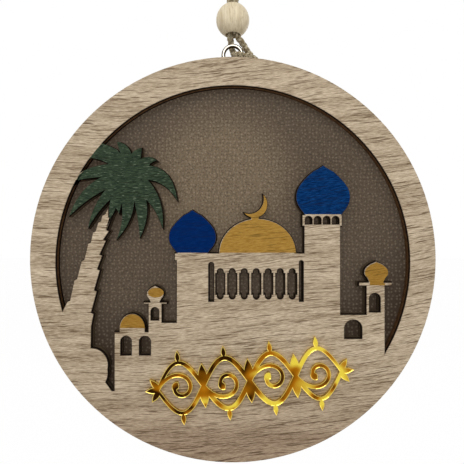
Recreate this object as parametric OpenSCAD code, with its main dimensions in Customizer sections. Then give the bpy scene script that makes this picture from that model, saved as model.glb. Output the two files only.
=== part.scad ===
// Round hanging ornament for Ramadan and Eid: a lit wooden box with a pierced front.
// The origin is the inside top of the cord's loop, where a hook holds it. +Z is up and the front faces -Y.

/* [Disc] */
// Diameter of the round wooden box
disc_d = 150; // [140:1:180]
// Width of the plain rim round the pierced scene
rim_w = 9.5; // [9.5:0.5:14]
// How far the opening's centre lies below the disc's centre
opening_drop = 1.1; // [0:0.1:2]
// Thickness of the pierced front panel
front_t = 4; // [2:0.5:5]
// Depth of the ring between the two panels
ring_depth = 10; // [10:0.5:16]
// Width of that ring's wall
ring_wall = 7; // [6.5:0.5:7]
// Thickness of the back panel
back_t = 3; // [2.5:0.5:4]
// Thickness of the diffuser behind the opening
sheet_t = 1; // [0.5:0.25:1.5]

/* [Pierced scene] */
// Windows in the long arcade
arcade_count = 7; // [3:1:9]
// Width of one arcade window
arcade_w = 3.5; // [2.5:0.1:4]
// Arched holes in the minaret's balcony
balcony_count = 4; // [3:1:5]

/* [Gold scroll] */
// Length of the gold scroll piece
scroll_l = 79; // [60:1:80]
// Thickness of the gold mirror sheet
scroll_t = 1.5; // [1:0.5:3]
// Width of the scroll's two stems
stem_w = 1.9; // [1.6:0.1:2.2]
// How much the scroll rises to the right, in degrees
scroll_tilt = 6; // [0:1:8]

/* [Cord, bead and eye] */
// Diameter of the twisted twine
cord_d = 2; // [1.5:0.1:2]
// Diameter of the wooden bead
bead_d = 12.9; // [11:0.1:15]
// Bore of the bead, which takes two strands
bead_bore_d = 5.2; // [5:0.1:6]
// Outer diameter of the screw eye's ring
eye_d = 8.8; // [8.6:0.1:10]
// Wire diameter of the screw eye
eye_wire_d = 1.5; // [1.2:0.1:1.6]
// Length of the screw eye's shank below its ring
eye_shank_l = 6; // [4:0.5:6]

/* [Battery case and light] */
// Diameter of a coin cell
cell_d = 20; // [16:0.5:20]
// Thickness of a coin cell
cell_t = 3.2; // [2:0.1:3.2]
// Cells stacked in the case
cell_count = 2; // [1:1:2]
// Turn that frees the battery cover, in degrees
cover_turn = 30; // [25:1:40]
// Travel of the switch's slider
switch_travel = 2.4; // [1.5:0.1:3]
// Light chips round the ring
led_count = 20; // [8:1:30]

/* [Hidden] */
$fn = 64;
facets = 32;
overrun = 1;

// Depths along Y, from the front face to the back face, with the eye's plane at zero.
box_t = front_t + ring_depth + back_t;
front_y = -box_t / 2;
ring_front_y = front_y + front_t;
ring_back_y = ring_front_y + ring_depth;
back_y = box_t / 2;
disc_r = disc_d / 2;
ring_inner_r = disc_r - ring_wall;
opening_r = disc_r - rim_w;

// The eye hangs in the cord this far under the hook, and the ornament hangs on the eye.
eye_drop = 80;
eye_r = (eye_d - eye_wire_d) / 2;
eye_wire_r = eye_wire_d / 2;
eye_bite = 0.4;
eye_fit = 0.05;
disc_z = -eye_drop - disc_r - eye_d / 2 + eye_bite;

// Small clearances: between glued or seated pieces, and between pieces that move.
glue_gap = 0.05;
seat_gap = 0.1;
running_gap = 0.3;

// The scene is drawn in shares of the opening's radius, about the opening's centre.
// The building line, from left to right: where each block ends, and the height of its top.
block_start_share = -0.669;
block_shares = [
    [-0.477, -0.392],
    [-0.401, -0.224],
    [-0.318, -0.339],
    [0.403, 0.053],
    [0.608, 0.206],
    [0.754, -0.294],
    [0.859, -0.131]
];
scene_floor_share = -1.1;
// Ledges that stand out past their walls: left, right, bottom and top.
ledge_shares = [
    [-0.504, -0.372, -0.234, -0.224],
    [-0.329, -0.250, 0.012, 0.053],
    [0.392, 0.617, 0.206, 0.269],
    [0.712, 0.899, -0.131, -0.112]
];
// Onion domes: middle, foot height, neck width, belly width and height.
blue_dome_shares = [
    [-0.228, 0.053, 0.174, 0.263, 0.244],
    [0.510, 0.269, 0.207, 0.300, 0.280]
];
gold_dome_shares = [
    [-0.439, -0.224, 0.056, 0.098, 0.094],
    [0.809, -0.112, 0.087, 0.138, 0.119]
];
// Round domes: middle, foot height, width and height.
round_dome_shares = [
    [0.139, 0.053, 0.437, 0.196],
    [-0.569, -0.371, 0.145, 0.083]
];
drum_share = [-0.641, -0.496, -0.392, -0.371];
// An onion dome's flank: the belly's height, then the pull on the curve below and above it,
// across the belly's width and up the dome's height.
onion_belly_share = 0.41;
onion_foot_share = [0.25, 0.10];
onion_low_share = 0.24;
onion_high_share = 0.66;
onion_neck_share = [0.21, 0.80];
onion_steps = 9;
// The crescent on the main dome: middle, outer and inner radius, offset and opening direction.
crescent_share = [0.120, 0.324];
crescent_outer_share = 0.070;
crescent_inner_share = 0.077;
crescent_offset_share = 0.038;
crescent_turn = 133;
crescent_foot_share = [0.101, 0.146, 0.235, 0.262];

// Round-topped windows: middle, sill, width and height.
window_shares = [
    [-0.603, -0.523, 0.062, 0.108],
    [-0.496, -0.523, 0.065, 0.108],
    [-0.440, -0.326, 0.046, 0.073],
    [0.802, -0.280, 0.063, 0.107],
    [0.680, -0.430, 0.100, 0.107]
];
// Long slots beside the arcade: middle, sill, width and height.
slot_shares = [
    [-0.122, -0.220, 0.030, 0.222],
    [0.387, -0.220, 0.024, 0.232]
];
arcade_left_share = -0.071;
arcade_right_share = 0.336;
arcade_body_share = [-0.181, -0.060];
arcade_cap_share = 0.67;
arcade_cap_rise_share = 0.026;
balcony_hole_share = [0.216, 0.262];
balcony_edge_share = 0.016;
balcony_post_share = 0.010;
arcade_fill_share = 0.8;

// The palm's trunk: the points of the old leaf stumps on its two sides, each from the top down.
trunk_tip_share = [-0.702, 0.310];
trunk_left_shares = [
    [-0.738, 0.266], [-0.761, 0.227], [-0.791, 0.170], [-0.818, 0.107], [-0.855, 0.009], [-0.896, -0.099],
    [-0.935, -0.221]
];
trunk_right_shares = [
    [-0.687, 0.249], [-0.698, 0.177], [-0.715, 0.124], [-0.736, 0.039], [-0.750, -0.044], [-0.767, -0.163],
    [-0.785, -0.290]
];
// How far each stump stands out from the trunk and hangs below its root.
trunk_stump_share = [0.015, 0.007];
trunk_foot_shares = [[-0.799, -0.362], [-0.801, -0.476], [-0.802, -0.60], [-1.05, -0.60]];
trunk_heel_share = [-1.05, -0.45];
// The mound at the palm's foot: middle and radius of its two lobes, then the slope of its toe.
mound_shares = [[-0.800, -0.578, 0.096], [-0.815, -0.623, 0.110]];
toe_shares = [
    [-0.80, -0.58], [-0.715, -0.68], [-0.683, -0.724], [-0.60, -0.724], [-0.60, -1.0], [-1.05, -0.60]
];

// The palm's crown, clockwise from the frame. Each row bends out to a leaf's tip and back
// to the notch beside it: outer bend, tip, inner bend, notch.
crown_start_share = [-0.790, 0.690];
leaf_shares = [
    [[-0.700, 0.662], [-0.660, 0.640], [-0.645, 0.632], [-0.631, 0.609]],
    [[-0.643, 0.640], [-0.654, 0.682], [-0.590, 0.675], [-0.573, 0.613]],
    [[-0.555, 0.640], [-0.515, 0.648], [-0.515, 0.620], [-0.522, 0.586]],
    [[-0.470, 0.610], [-0.430, 0.577], [-0.460, 0.570], [-0.474, 0.548]],
    [[-0.337, 0.538], [-0.313, 0.349], [-0.373, 0.456], [-0.481, 0.468]],
    [[-0.382, 0.360], [-0.396, 0.193], [-0.430, 0.302], [-0.489, 0.355]],
    [[-0.468, 0.252], [-0.524, 0.141], [-0.534, 0.254], [-0.557, 0.352]],
    [[-0.558, 0.240], [-0.656, 0.129], [-0.610, 0.247], [-0.628, 0.337]],
    [[-0.636, 0.306], [-0.643, 0.276], [-0.650, 0.300], [-0.662, 0.309]],
    [[-0.668, 0.285], [-0.695, 0.245], [-0.705, 0.300], [-0.689, 0.359]],
    [[-0.761, 0.297], [-0.817, 0.196], [-0.796, 0.317], [-0.720, 0.411]],
    [[-0.818, 0.367], [-0.924, 0.263], [-0.868, 0.423], [-0.741, 0.483]],
    [[-0.850, 0.479], [-0.960, 0.440], [-0.840, 0.545], [-0.701, 0.557]],
    [[-0.745, 0.592], [-0.880, 0.600], [-0.840, 0.650], crown_start_share]
];
leaf_steps = 6;

// The gold scroll: two wavy stems cross into a row of eyes, a tendril curls in each eye, and
// leaves grow at the crossings, the crests and both ends.
scroll_place_share = [0.094, -0.66];
scroll_eyes = 4;
stem_l_share = 0.86;
stem_wave_share = 0.118;
stem_end_share = 0.7;
stem_steps = 14;
end_tuck_share = 0.45;
tendril_steps = 30;
tendril_sweep = 430;
tendril_curl_share = 0.62;
tendril_end_share = 0.28;
tendril_branch_power = 11;
tendril_width_share = 0.8;
tendril_bud_share = 0.8;
tendril_swell_share = 0.8;
leaf_w_share = 0.42;
leaf_swell_power = 0.8;
drop_leaf_steps = 8;
crest_leaf_share = 0.056;
node_leaf_share = 0.105;
end_leaf_share = 0.068;
end_leaf_spread = 52;

// The ring's own pieces.
back_screw_count = 4;
back_screw_turn = 45;
back_screw_d = 2.2;
back_screw_head_d = 4.4;
back_screw_head_t = 1.3;
back_screw_l = 9;
cross_w = 0.6;
cross_l_share = 0.6;
cross_depth_share = 0.6;
pin_point_share = 1.5;

// Light tape and its chips, on the ring's inner wall.
tape_t = 0.3;
tape_w = 5;
tape_gap_angle = 44;
led_l = 2.8;
led_w = 3.5;
led_t = 1.2;
resistor_l = 2;
resistor_w = 1.25;
resistor_t = 0.5;
resistor_every = 4;

// Battery case, low in the back panel. Depths count inwards from its outer face.
case_ring_gap = 1.75;
case_wall = 1.7;
case_recess = 0.2;
cell_gap = 0.4;
cell_side_gap = 0.4;
cover_t = 2.2;
lug_l = 1;
lug_t = 0.9;
lug_count = 3;
lug_angle = 24;
lug_slack = 3;
lip_gap = 0.1;
ledge_w = 1.6;
coin_slot = [11, 1.6, 1];
flange_t = 1.2;
flange_w = 2.5;
ear_r = 2.8;
case_screw_d = 1.4;
case_screw_head_d = 2.6;
case_screw_head_t = 0.9;
case_screw_bite = 2;
cell_rim_t = 0.4;
cell_rim_w = 1.2;
contact_t = 0.3;
contact_w = 4;
contact_rise = 0.35;
tail_l = 4;

// Slide switch, left of the battery case.
switch_side = 28;
switch_body = [9, 4.4, 4];
knob = [2, 2];
knob_sink = 1.3;
knob_recess = 0.5;
switch_slot_gap = 0.3;
lead_d = 0.9;
lead_sides = 8;
lead_run = 2;
lead_overlap_angle = 1;

// Twine: the route's points in millimetres, from the knot down the left strand, through the
// eye from the back to the front, and up the right strand to the knot again.
cord_sides = 8;
cord_route = [
    [-1.1, 0, 2.5], [-1.3, 0, -0.5], [-3.1, 0, -6], [-5.4, 0, -13], [-6.5, 0, -21], [-5.9, 0, -28],
    [-3.9, 0, -35.5], [-1.8, 0, -43], [-1.15, 0, -51], [-1.15, 0, -65], [-1.2, 0, -69],
    [-1.1, 0.5, -71.3], [-0.9, 1.5, -73.3], [-0.5, 2.6, -75.3], [0, 3, -77.1], [0.5, 2.2, -78.8],
    [0.9, 0.2, -79.8], [1.5, -1.8, -80.4], [2.8, -3.5, -81.3], [4.8, -4.3, -82.1], [7, -3.6, -82.5],
    [8.5, -1.6, -82.3], [8.7, 0.8, -81.4], [7.7, 2.4, -79.8], [6.2, 2.7, -77.9], [4.8, 2, -76],
    [3.4, 1.1, -74.3], [2.1, 0.4, -72.9], [1.4, 0.1, -71.3], [1.2, 0, -69], [1.15, 0, -66],
    [1.15, 0, -51], [1.8, 0, -43], [3.9, 0, -35.5], [5.9, 0, -28], [6.5, 0, -21], [5.4, 0, -13],
    [3.1, 0, -6], [1.3, 0, -0.5], [1.1, 0, 2.5]
];
knot_z = 3.4;
knot_core_share = 1.3;
knot_turn_share = 0.95;
knot_wrap_share = 0.55;
knot_lean = 24;
knot_rise_share = 0.45;
tail_knot_share = 5;
tail_spread = 16;
bead_rest_z = -66.4;
bead_mouth_share = 1.15;
bead_mouth_depth_share = 0.08;

// Curves.
function bend2(a, b, c, n) = [
    for (i = [1:n]) let (t = i / n) (1 - t) * (1 - t) * a + 2 * t * (1 - t) * b + t * t * c
];
function bend3(a, b, c, d, n) = [
    for (i = [1:n])
        let (t = i / n, s = 1 - t)
            s * s * s * a + 3 * s * s * t * b + 3 * s * t * t * c + t * t * t * d
];
function mirrored(points) = [for (i = [len(points) - 1:-1:0]) [-points[i].x, points[i].y]];
function unit(v) = v / norm(v);
function side_of(v) = [-v.y, v.x];

// An onion dome's right half, from its neck over the belly to the tip.
function onion_half(neck, belly, height) =
    let (
        foot = [neck / 2, 0],
        flare = foot + [(belly - neck) / 2 * onion_foot_share.x, height * onion_foot_share.y],
        widest = [belly / 2, height * onion_belly_share]
    )
        concat(
            [foot],
            bend3(foot, flare, [belly / 2, height * onion_low_share], widest, onion_steps),
            bend3(
                widest, [belly / 2, height * onion_high_share],
                [belly * onion_neck_share.x, height * onion_neck_share.y], [0, height], onion_steps
            )
        );

module onion_dome(row) {
    half = onion_half(row[2], row[3], row[4]) * opening_r;
    translate([row[0], row[1]] * opening_r)
        polygon(concat(half, mirrored([for (i = [0:len(half) - 2]) half[i]])));
}

module round_dome(row) {
    steps = facets;
    translate([row[0], row[1]] * opening_r)
        polygon([
            for (i = [0:steps])
                let (a = 180 * i / steps) [cos(a) * row[2] / 2, sin(a) * row[3]] * opening_r
        ]);
}

module block_2d(left, right, bottom, top) {
    translate([left, bottom] * opening_r) square([right - left, top - bottom] * opening_r);
}

// The stepped line of walls, as one outline down to the scene's floor.
module blocks_2d() {
    last = len(block_shares) - 1;
    tops = [
        for (i = [0:last])
            let (left = i == 0 ? block_start_share : block_shares[i - 1][0], row = block_shares[i])
                each [[left, row[1]], [row[0], row[1]]]
    ];
    polygon(concat(
        [[block_start_share, scene_floor_share]], tops, [[block_shares[last][0], scene_floor_share]]
    ) * opening_r);
}

module crescent_2d() {
    offset_dir = [cos(crescent_turn), sin(crescent_turn)];
    difference() {
        translate(crescent_share * opening_r) circle(r = crescent_outer_share * opening_r);
        translate((crescent_share + crescent_offset_share * offset_dir) * opening_r)
            circle(r = crescent_inner_share * opening_r);
    }
    block_2d(crescent_foot_share[0], crescent_foot_share[1], crescent_foot_share[2], crescent_foot_share[3]);
}

module skyline_2d() {
    blocks_2d();
    for (row = ledge_shares) block_2d(row[0], row[1], row[2], row[3]);
    block_2d(drum_share[0], drum_share[1], drum_share[2], drum_share[3]);
    for (row = blue_dome_shares) onion_dome(row);
    for (row = gold_dome_shares) onion_dome(row);
    for (row = round_dome_shares) round_dome(row);
    crescent_2d();
}

// Each side of the trunk steps out to the point of a stump and draws in towards the next.
module palm_trunk_2d() {
    out = trunk_stump_share.x;
    rise = trunk_stump_share.y;
    left = [
        for (i = [len(trunk_left_shares) - 1:-1:0]) each [trunk_left_shares[i], trunk_left_shares[i] + [out, rise]]
    ];
    right = [for (point = trunk_right_shares) each [point + [-out, rise], point]];
    polygon(concat([trunk_heel_share], left, [trunk_tip_share], right, trunk_foot_shares) * opening_r);
}

module palm_crown_2d() {
    notches = concat([crown_start_share], [for (row = leaf_shares) row[3]]);
    polygon([
        for (i = [0:len(leaf_shares) - 1])
            let (row = leaf_shares[i])
                each concat(
                    bend2(notches[i], row[0], row[1], leaf_steps), bend2(row[1], row[2], row[3], leaf_steps)
                )
    ] * opening_r);
}

module palm_foot_2d() {
    for (lobe = mound_shares) translate([lobe[0], lobe[1]] * opening_r) circle(r = lobe[2] * opening_r);
    polygon(toe_shares * opening_r);
}

module arched_window_2d(row) {
    w = row[2] * opening_r;
    h = row[3] * opening_r;
    translate([row[0], row[1]] * opening_r) {
        translate([-w / 2, 0]) square([w, h - w / 2]);
        translate([0, h - w / 2]) circle(r = w / 2);
    }
}

module arcade_2d() {
    pitch = (arcade_right_share - arcade_left_share) * opening_r / max(arcade_count - 1, 1);
    low = arcade_body_share[0] * opening_r;
    high = arcade_body_share[1] * opening_r;
    w = min(arcade_w, pitch * arcade_fill_share);
    cap_r = w * arcade_cap_share / 2;
    cap_z = arcade_cap_rise_share * opening_r - cap_r;
    for (i = [0:arcade_count - 1])
        translate([arcade_left_share * opening_r + i * pitch, 0]) {
            translate([-w / 2, low]) square([w, high - low]);
            translate([0, high + cap_z]) circle(r = cap_r);
            translate([0, low - cap_z]) circle(r = cap_r);
            translate([-cap_r, low - cap_z]) square([2 * cap_r, high - low + 2 * cap_z]);
        }
}

module balcony_holes_2d() {
    row = ledge_shares[2];
    clear = row[1] - row[0] - 2 * balcony_edge_share;
    w = (clear - balcony_post_share * (balcony_count - 1)) / balcony_count;
    for (i = [0:balcony_count - 1])
        arched_window_2d([
            row[0] + balcony_edge_share + w / 2 + i * (w + balcony_post_share), balcony_hole_share[0],
            w, balcony_hole_share[1] - balcony_hole_share[0]
        ]);
}

module windows_2d() {
    for (row = window_shares) arched_window_2d(row);
    for (row = slot_shares) arched_window_2d(row);
    arcade_2d();
    balcony_holes_2d();
}

module at_opening() {
    translate([0, -opening_drop]) children();
}

// A flat piece of the front, drawn in the X-Z plane about the disc's centre and set back from
// the front face, then grown towards the back.
module slab(from_y, thickness) {
    translate([0, from_y + thickness, disc_z]) rotate([90, 0, 0]) linear_extrude(thickness) children();
}

// Turns a piece drawn with +Z outwards to face the back, at a height from the disc's centre.
module facing_back(x, z) {
    translate([x, back_y, disc_z + z]) rotate([-90, 0, 0]) children();
}

module front_panel() {
    color("burlywood")
        slab(front_y, front_t)
            difference() {
                circle(r = disc_r);
                at_opening()
                    difference() {
                        circle(r = opening_r);
                        union() {
                            skyline_2d();
                            palm_trunk_2d();
                            palm_crown_2d();
                            palm_foot_2d();
                        }
                    }
                at_opening() windows_2d();
            }
}

// A stroke follows points with a half width at each.
module stroke_2d(points, halves) {
    last = len(points) - 1;
    dirs = [for (i = [0:last]) unit(points[min(i + 1, last)] - points[max(i - 1, 0)])];
    left = [for (i = [0:last]) points[i] + side_of(dirs[i]) * halves[i]];
    right = [for (i = [last:-1:0]) points[i] - side_of(dirs[i]) * halves[i]];
    polygon(concat(left, right));
}

stem_l = scroll_l * stem_l_share;

// A point of the upper or lower stem, which cross again after every eye.
function stem_point(t, side) = [
    (t - 1 / 2) * stem_l, side * sin(180 * scroll_eyes * t) * stem_wave_share * scroll_l
];

module stem_2d(side) {
    steps = stem_steps * scroll_eyes;
    stroke_2d(
        [for (i = [0:steps]) stem_point(i / steps, side)],
        [for (i = [0:steps]) stem_w / 2 * (stem_end_share + (1 - stem_end_share) * sin(180 * i / steps))]
    );
}

// A tendril leaves the crossing at an eye's left end and curls up inside that eye.
module tendril_2d(eye) {
    side = eye % 2 == 0 ? -1 : 1;
    reach = stem_l / scroll_eyes / 2;
    centre = [((eye + 1 / 2) / scroll_eyes - 1 / 2) * stem_l, 0];
    half = stem_w / 2 * tendril_width_share;
    points = [
        for (i = [0:tendril_steps])
            let (
                t = i / tendril_steps,
                curl = tendril_curl_share * (1 - (1 - tendril_end_share) * t),
                branch = (1 - tendril_curl_share) * pow(1 - t, tendril_branch_power),
                a = 180 + side * tendril_sweep * t
            )
                centre + reach * (curl + branch) * [cos(a), sin(a)]
    ];
    stroke_2d(points, [
        for (i = [0:tendril_steps])
            let (bud = max(0, (i / tendril_steps - tendril_bud_share) / (1 - tendril_bud_share)))
                half * (1 + tendril_swell_share * sin(180 * bud))
    ]);
}

module drop_leaf_2d(at, turn, l) {
    edge = [
        for (i = [0:drop_leaf_steps])
            let (t = i / drop_leaf_steps) [t, sin(180 * pow(t, leaf_swell_power)) * leaf_w_share / 2] * l
    ];
    translate(at) rotate(turn)
        polygon(concat(edge, [for (i = [drop_leaf_steps - 1:-1:1]) [edge[i].x, -edge[i].y]]));
}

module gold_scroll_2d() {
    for (side = [-1, 1]) {
        stem_2d(side);
        for (eye = [0:scroll_eyes - 1])
            drop_leaf_2d(
                stem_point((eye + 1 / 2) / scroll_eyes, side), (eye % 2 == 0 ? side : -side) * 90,
                crest_leaf_share * scroll_l
            );
        for (i = [1:scroll_eyes - 1])
            drop_leaf_2d(stem_point(i / scroll_eyes, side), side * 90, node_leaf_share * scroll_l);
        for (spread = [-1:1])
            drop_leaf_2d(
                [side * (stem_l / 2 - stem_w * end_tuck_share), 0], 90 - side * 90 + spread * end_leaf_spread,
                end_leaf_share * scroll_l
            );
    }
    for (eye = [0:scroll_eyes - 1]) tendril_2d(eye);
}

module gold_scroll() {
    color("goldenrod")
        slab(front_y - scroll_t, scroll_t)
            at_opening() translate(scroll_place_share * opening_r) rotate(scroll_tilt) gold_scroll_2d();
}

module diffuser_sheet() {
    color("dimgray") slab(ring_front_y, sheet_t) circle(r = ring_inner_r - running_gap);
}

module back_screw_places(from_y) {
    for (i = [0:back_screw_count - 1]) {
        a = back_screw_turn + 360 * i / back_screw_count;
        r = disc_r - ring_wall / 2;
        translate([r * cos(a), from_y, disc_z + r * sin(a)]) rotate([-90, 0, 0]) children();
    }
}

module eye_wire(grow) {
    translate([0, 0, -eye_drop])
        rotate([90, 0, 0]) rotate_extrude() translate([eye_r, 0]) circle(r = eye_wire_r + grow);
}

module eye_shank(grow) {
    bottom = -eye_drop - eye_r - eye_shank_l;
    point = eye_wire_d * pin_point_share;
    translate([0, 0, bottom + point]) cylinder(r = eye_wire_r + grow, h = eye_shank_l - point);
    translate([0, 0, bottom - grow]) cylinder(r1 = grow + glue_gap, r2 = eye_wire_r + grow, h = point + grow);
}

module screw_eye() {
    color("silver") {
        eye_wire(0);
        eye_shank(0);
    }
}

module side_ring() {
    color("tan")
        difference() {
            slab(ring_front_y, ring_depth)
                difference() {
                    circle(r = disc_r);
                    circle(r = ring_inner_r);
                }
            eye_wire(eye_fit);
            eye_shank(eye_fit);
            back_screw_places(back_y - back_screw_l - seat_gap)
                cylinder(d = back_screw_d + 2 * glue_gap, h = back_screw_l + seat_gap);
        }
}

// A countersunk screw with its head's top at zero and its point at -length.
module wood_screw(d, head_d, head_t, length, grow) {
    point = d * pin_point_share;
    translate([0, 0, -length + point]) cylinder(d = d + 2 * grow, h = length - point - head_t / 2);
    translate([0, 0, -length - grow]) cylinder(r1 = glue_gap, r2 = d / 2 + grow, h = point + grow);
    translate([0, 0, -head_t - grow]) cylinder(r1 = d / 2 + grow, r2 = head_d / 2 + grow, h = head_t + grow);
}

module cross_slot(head_d, head_t) {
    for (turn = [0, 90])
        rotate(turn)
            translate([-head_d * cross_l_share / 2, -cross_w / 2, -head_t * cross_depth_share])
                cube([head_d * cross_l_share, cross_w, head_t]);
}

module back_screws() {
    color("gray")
        back_screw_places(back_y - seat_gap)
            difference() {
                wood_screw(back_screw_d, back_screw_head_d, back_screw_head_t, back_screw_l, 0);
                cross_slot(back_screw_head_d, back_screw_head_t);
            }
}

// Battery case sizes, all from the cell.
cell_r = cell_d / 2;
well_r = cell_r + cell_side_gap;
ledge_r = well_r + ledge_w;
groove_r = ledge_r + lug_l + running_gap;
case_r = groove_r + case_wall;
ear_x = case_r + ear_r - seat_gap;
case_z = case_ring_gap + ear_x + ear_r - ring_inner_r;
lip_depth = case_recess + cover_t - lug_t - lip_gap;
ledge_depth = case_recess + cover_t + lip_gap;
well_depth = case_recess + cover_t + cell_gap + cell_t * cell_count + contact_t + lip_gap;
case_depth = well_depth + case_wall - running_gap;

module battery_case() {
    color("ivory")
        facing_back(0, case_z)
            difference() {
                union() {
                    translate([0, 0, -case_depth]) cylinder(r = case_r, h = case_depth - case_recess);
                    translate([0, 0, -back_t - flange_t]) {
                        cylinder(r = case_r + flange_w, h = flange_t);
                        for (side = [-1, 1]) translate([0, side * ear_x, 0]) cylinder(r = ear_r, h = flange_t);
                    }
                }
                translate([0, 0, -well_depth]) cylinder(r = well_r, h = well_depth + overrun);
                translate([0, 0, -ledge_depth]) cylinder(r = groove_r, h = ledge_depth - lip_depth);
                translate([0, 0, -ledge_depth]) cylinder(r = ledge_r + running_gap, h = ledge_depth + overrun);
                for (i = [0:lug_count - 1])
                    rotate(360 * i / lug_count + cover_turn - lug_slack)
                        translate([0, 0, -lip_depth - glue_gap])
                            rotate_extrude(angle = lug_angle + 2 * lug_slack)
                                square([groove_r, lip_depth + overrun]);
                for (side = [-1, 1])
                    translate([0, side * ear_x, -back_t - flange_t - overrun])
                        cylinder(d = case_screw_d + 2 * seat_gap, h = flange_t + 2 * overrun);
                side_contact_shape(seat_gap);
                lower_contact_shape(seat_gap);
            }
}

module case_screws() {
    color("gray")
        facing_back(0, case_z)
            for (side = [-1, 1])
                translate([0, side * ear_x, -back_t - flange_t - seat_gap])
                    difference() {
                        union() {
                            translate([0, 0, -case_screw_head_t])
                                cylinder(d = case_screw_head_d, h = case_screw_head_t);
                            cylinder(d = case_screw_d, h = flange_t + case_screw_bite);
                        }
                        translate([0, 0, -case_screw_head_t])
                            mirror([0, 0, 1]) cross_slot(case_screw_head_d, case_screw_head_t);
                    }
}

// The lower contact lies on the well's floor and leaves the case on the left.
module lower_contact_shape(grow) {
    reach = case_r + tail_l;
    translate([-reach - grow, -contact_w / 2 - grow, -well_depth - grow / 2])
        cube([reach + contact_w + 2 * grow, contact_w + 2 * grow, contact_t + grow / 2]);
}

module lower_contact() {
    color("gold")
        facing_back(0, case_z) {
            lower_contact_shape(0);
            translate([0, 0, -well_depth])
                cylinder(r1 = contact_w / 2, r2 = contact_w / 4, h = contact_t + contact_rise - seat_gap);
        }
}

// The side contact stands against the upper cell's rim and leaves the case on the right.
module side_contact_shape(grow) {
    inner = cell_r + seat_gap;
    tail_z = -back_t - flange_t - contact_t - running_gap;
    top = -ledge_depth - running_gap;
    translate([inner - grow, -contact_w / 2 - grow, tail_z - grow])
        cube([contact_t + 2 * grow, contact_w + 2 * grow, top - tail_z + grow]);
    translate([inner - grow, -contact_w / 2 - grow, tail_z - grow])
        cube([case_r + tail_l - inner + 2 * grow, contact_w + 2 * grow, contact_t + 2 * grow]);
}

module side_contact() {
    color("gold") facing_back(0, case_z) side_contact_shape(0);
}

module coin_cells() {
    floor_z = -well_depth + contact_t + contact_rise;
    color("silver")
        facing_back(0, case_z)
            for (i = [0:cell_count - 1])
                translate([0, 0, floor_z + i * cell_t]) {
                    cylinder(r = cell_r - cell_rim_w, h = cell_rim_t);
                    translate([0, 0, cell_rim_t]) cylinder(r = cell_r, h = cell_t - cell_rim_t - glue_gap);
                }
}

module battery_cover() {
    color("ivory")
        facing_back(0, case_z)
            difference() {
                translate([0, 0, -case_recess - cover_t]) {
                    cylinder(r = ledge_r, h = cover_t);
                    for (i = [0:lug_count - 1])
                        rotate(360 * i / lug_count)
                            rotate_extrude(angle = lug_angle)
                                translate([well_r, 0]) square([ledge_r + lug_l - well_r, lug_t]);
                }
                translate([-coin_slot.x / 2, -coin_slot.y / 2, -case_recess - coin_slot.z])
                    cube([coin_slot.x, coin_slot.y, coin_slot.z + overrun]);
            }
}

// The switch stands behind a slot in the back panel, and its slider stays under the panel's face.
slot_l = knob.x + switch_travel + 2 * switch_slot_gap;
slot_w = knob.y + 2 * switch_slot_gap;

module switch_body() {
    color("silver")
        facing_back(-switch_side, case_z)
            difference() {
                translate([-switch_body.x / 2, -switch_body.y / 2, -back_t - switch_body.z])
                    cube(switch_body);
                translate([-slot_l / 2, -slot_w / 2, -back_t - knob_sink - seat_gap])
                    cube([slot_l, slot_w, knob_sink + seat_gap + overrun]);
            }
}

module switch_slider() {
    color("black")
        facing_back(-switch_side, case_z)
            translate([-slot_l / 2 + switch_slot_gap, -knob.y / 2, -back_t - knob_sink])
                cube([knob.x, knob.y, back_t + knob_sink - knob_recess]);
}

module back_panel() {
    color("burlywood")
        difference() {
            slab(ring_back_y, back_t) circle(r = disc_r);
            facing_back(0, case_z) {
                translate([0, 0, -back_t - overrun]) cylinder(r = case_r + seat_gap, h = back_t + 2 * overrun);
                for (side = [-1, 1])
                    translate([0, side * ear_x, -back_t - overrun])
                        cylinder(d = case_screw_d + 2 * glue_gap, h = case_screw_bite + seat_gap + overrun);
            }
            facing_back(-switch_side, case_z)
                translate([-slot_l / 2, -slot_w / 2, -back_t - overrun])
                    cube([slot_l, slot_w, back_t + 2 * overrun]);
            back_screw_places(back_y - seat_gap) {
                wood_screw(back_screw_d, back_screw_head_d, back_screw_head_t, back_screw_l, glue_gap);
                cylinder(d = back_screw_head_d + 2 * glue_gap, h = overrun);
            }
        }
}

// The light tape lies on the ring's inner wall, open at the bottom where its leads leave it.
tape_r = ring_inner_r - glue_gap;
tape_sweep = 360 - tape_gap_angle;

module round_the_ring(turn, radius) {
    translate([0, 0, disc_z]) rotate([0, -turn, 0]) translate([radius, 0, 0]) children();
}

function tape_angle(share) = -90 + tape_gap_angle / 2 + tape_sweep * share;

module light_tape() {
    color("white")
        translate([0, 0, disc_z])
            rotate([90, 0, 0])
                rotate(-90 + tape_gap_angle / 2)
                    rotate_extrude(angle = tape_sweep)
                        translate([tape_r - tape_t, -tape_w / 2]) square([tape_t, tape_w]);
}

module light_chips() {
    color("lightyellow")
        for (i = [0:led_count - 1])
            round_the_ring(tape_angle((i + 0.5) / led_count), tape_r - tape_t - led_t - glue_gap)
                translate([0, -led_w / 2, -led_l / 2]) cube([led_t, led_w, led_l]);
}

module tape_resistors() {
    color("black")
        for (i = [1:resistor_every:led_count - 1])
            round_the_ring(tape_angle(i / led_count), tape_r - tape_t - resistor_t - glue_gap / 2)
                translate([0, -resistor_w / 2, -resistor_l / 2]) cube([resistor_t, resistor_w, resistor_l]);
}

// A lead is a thin tube at one depth, drawn from points of the disc's plane.
module lead(points, y) {
    tube([for (p = points) [p.x, y, disc_z + p.y]], lead_d, lead_sides);
}

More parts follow.
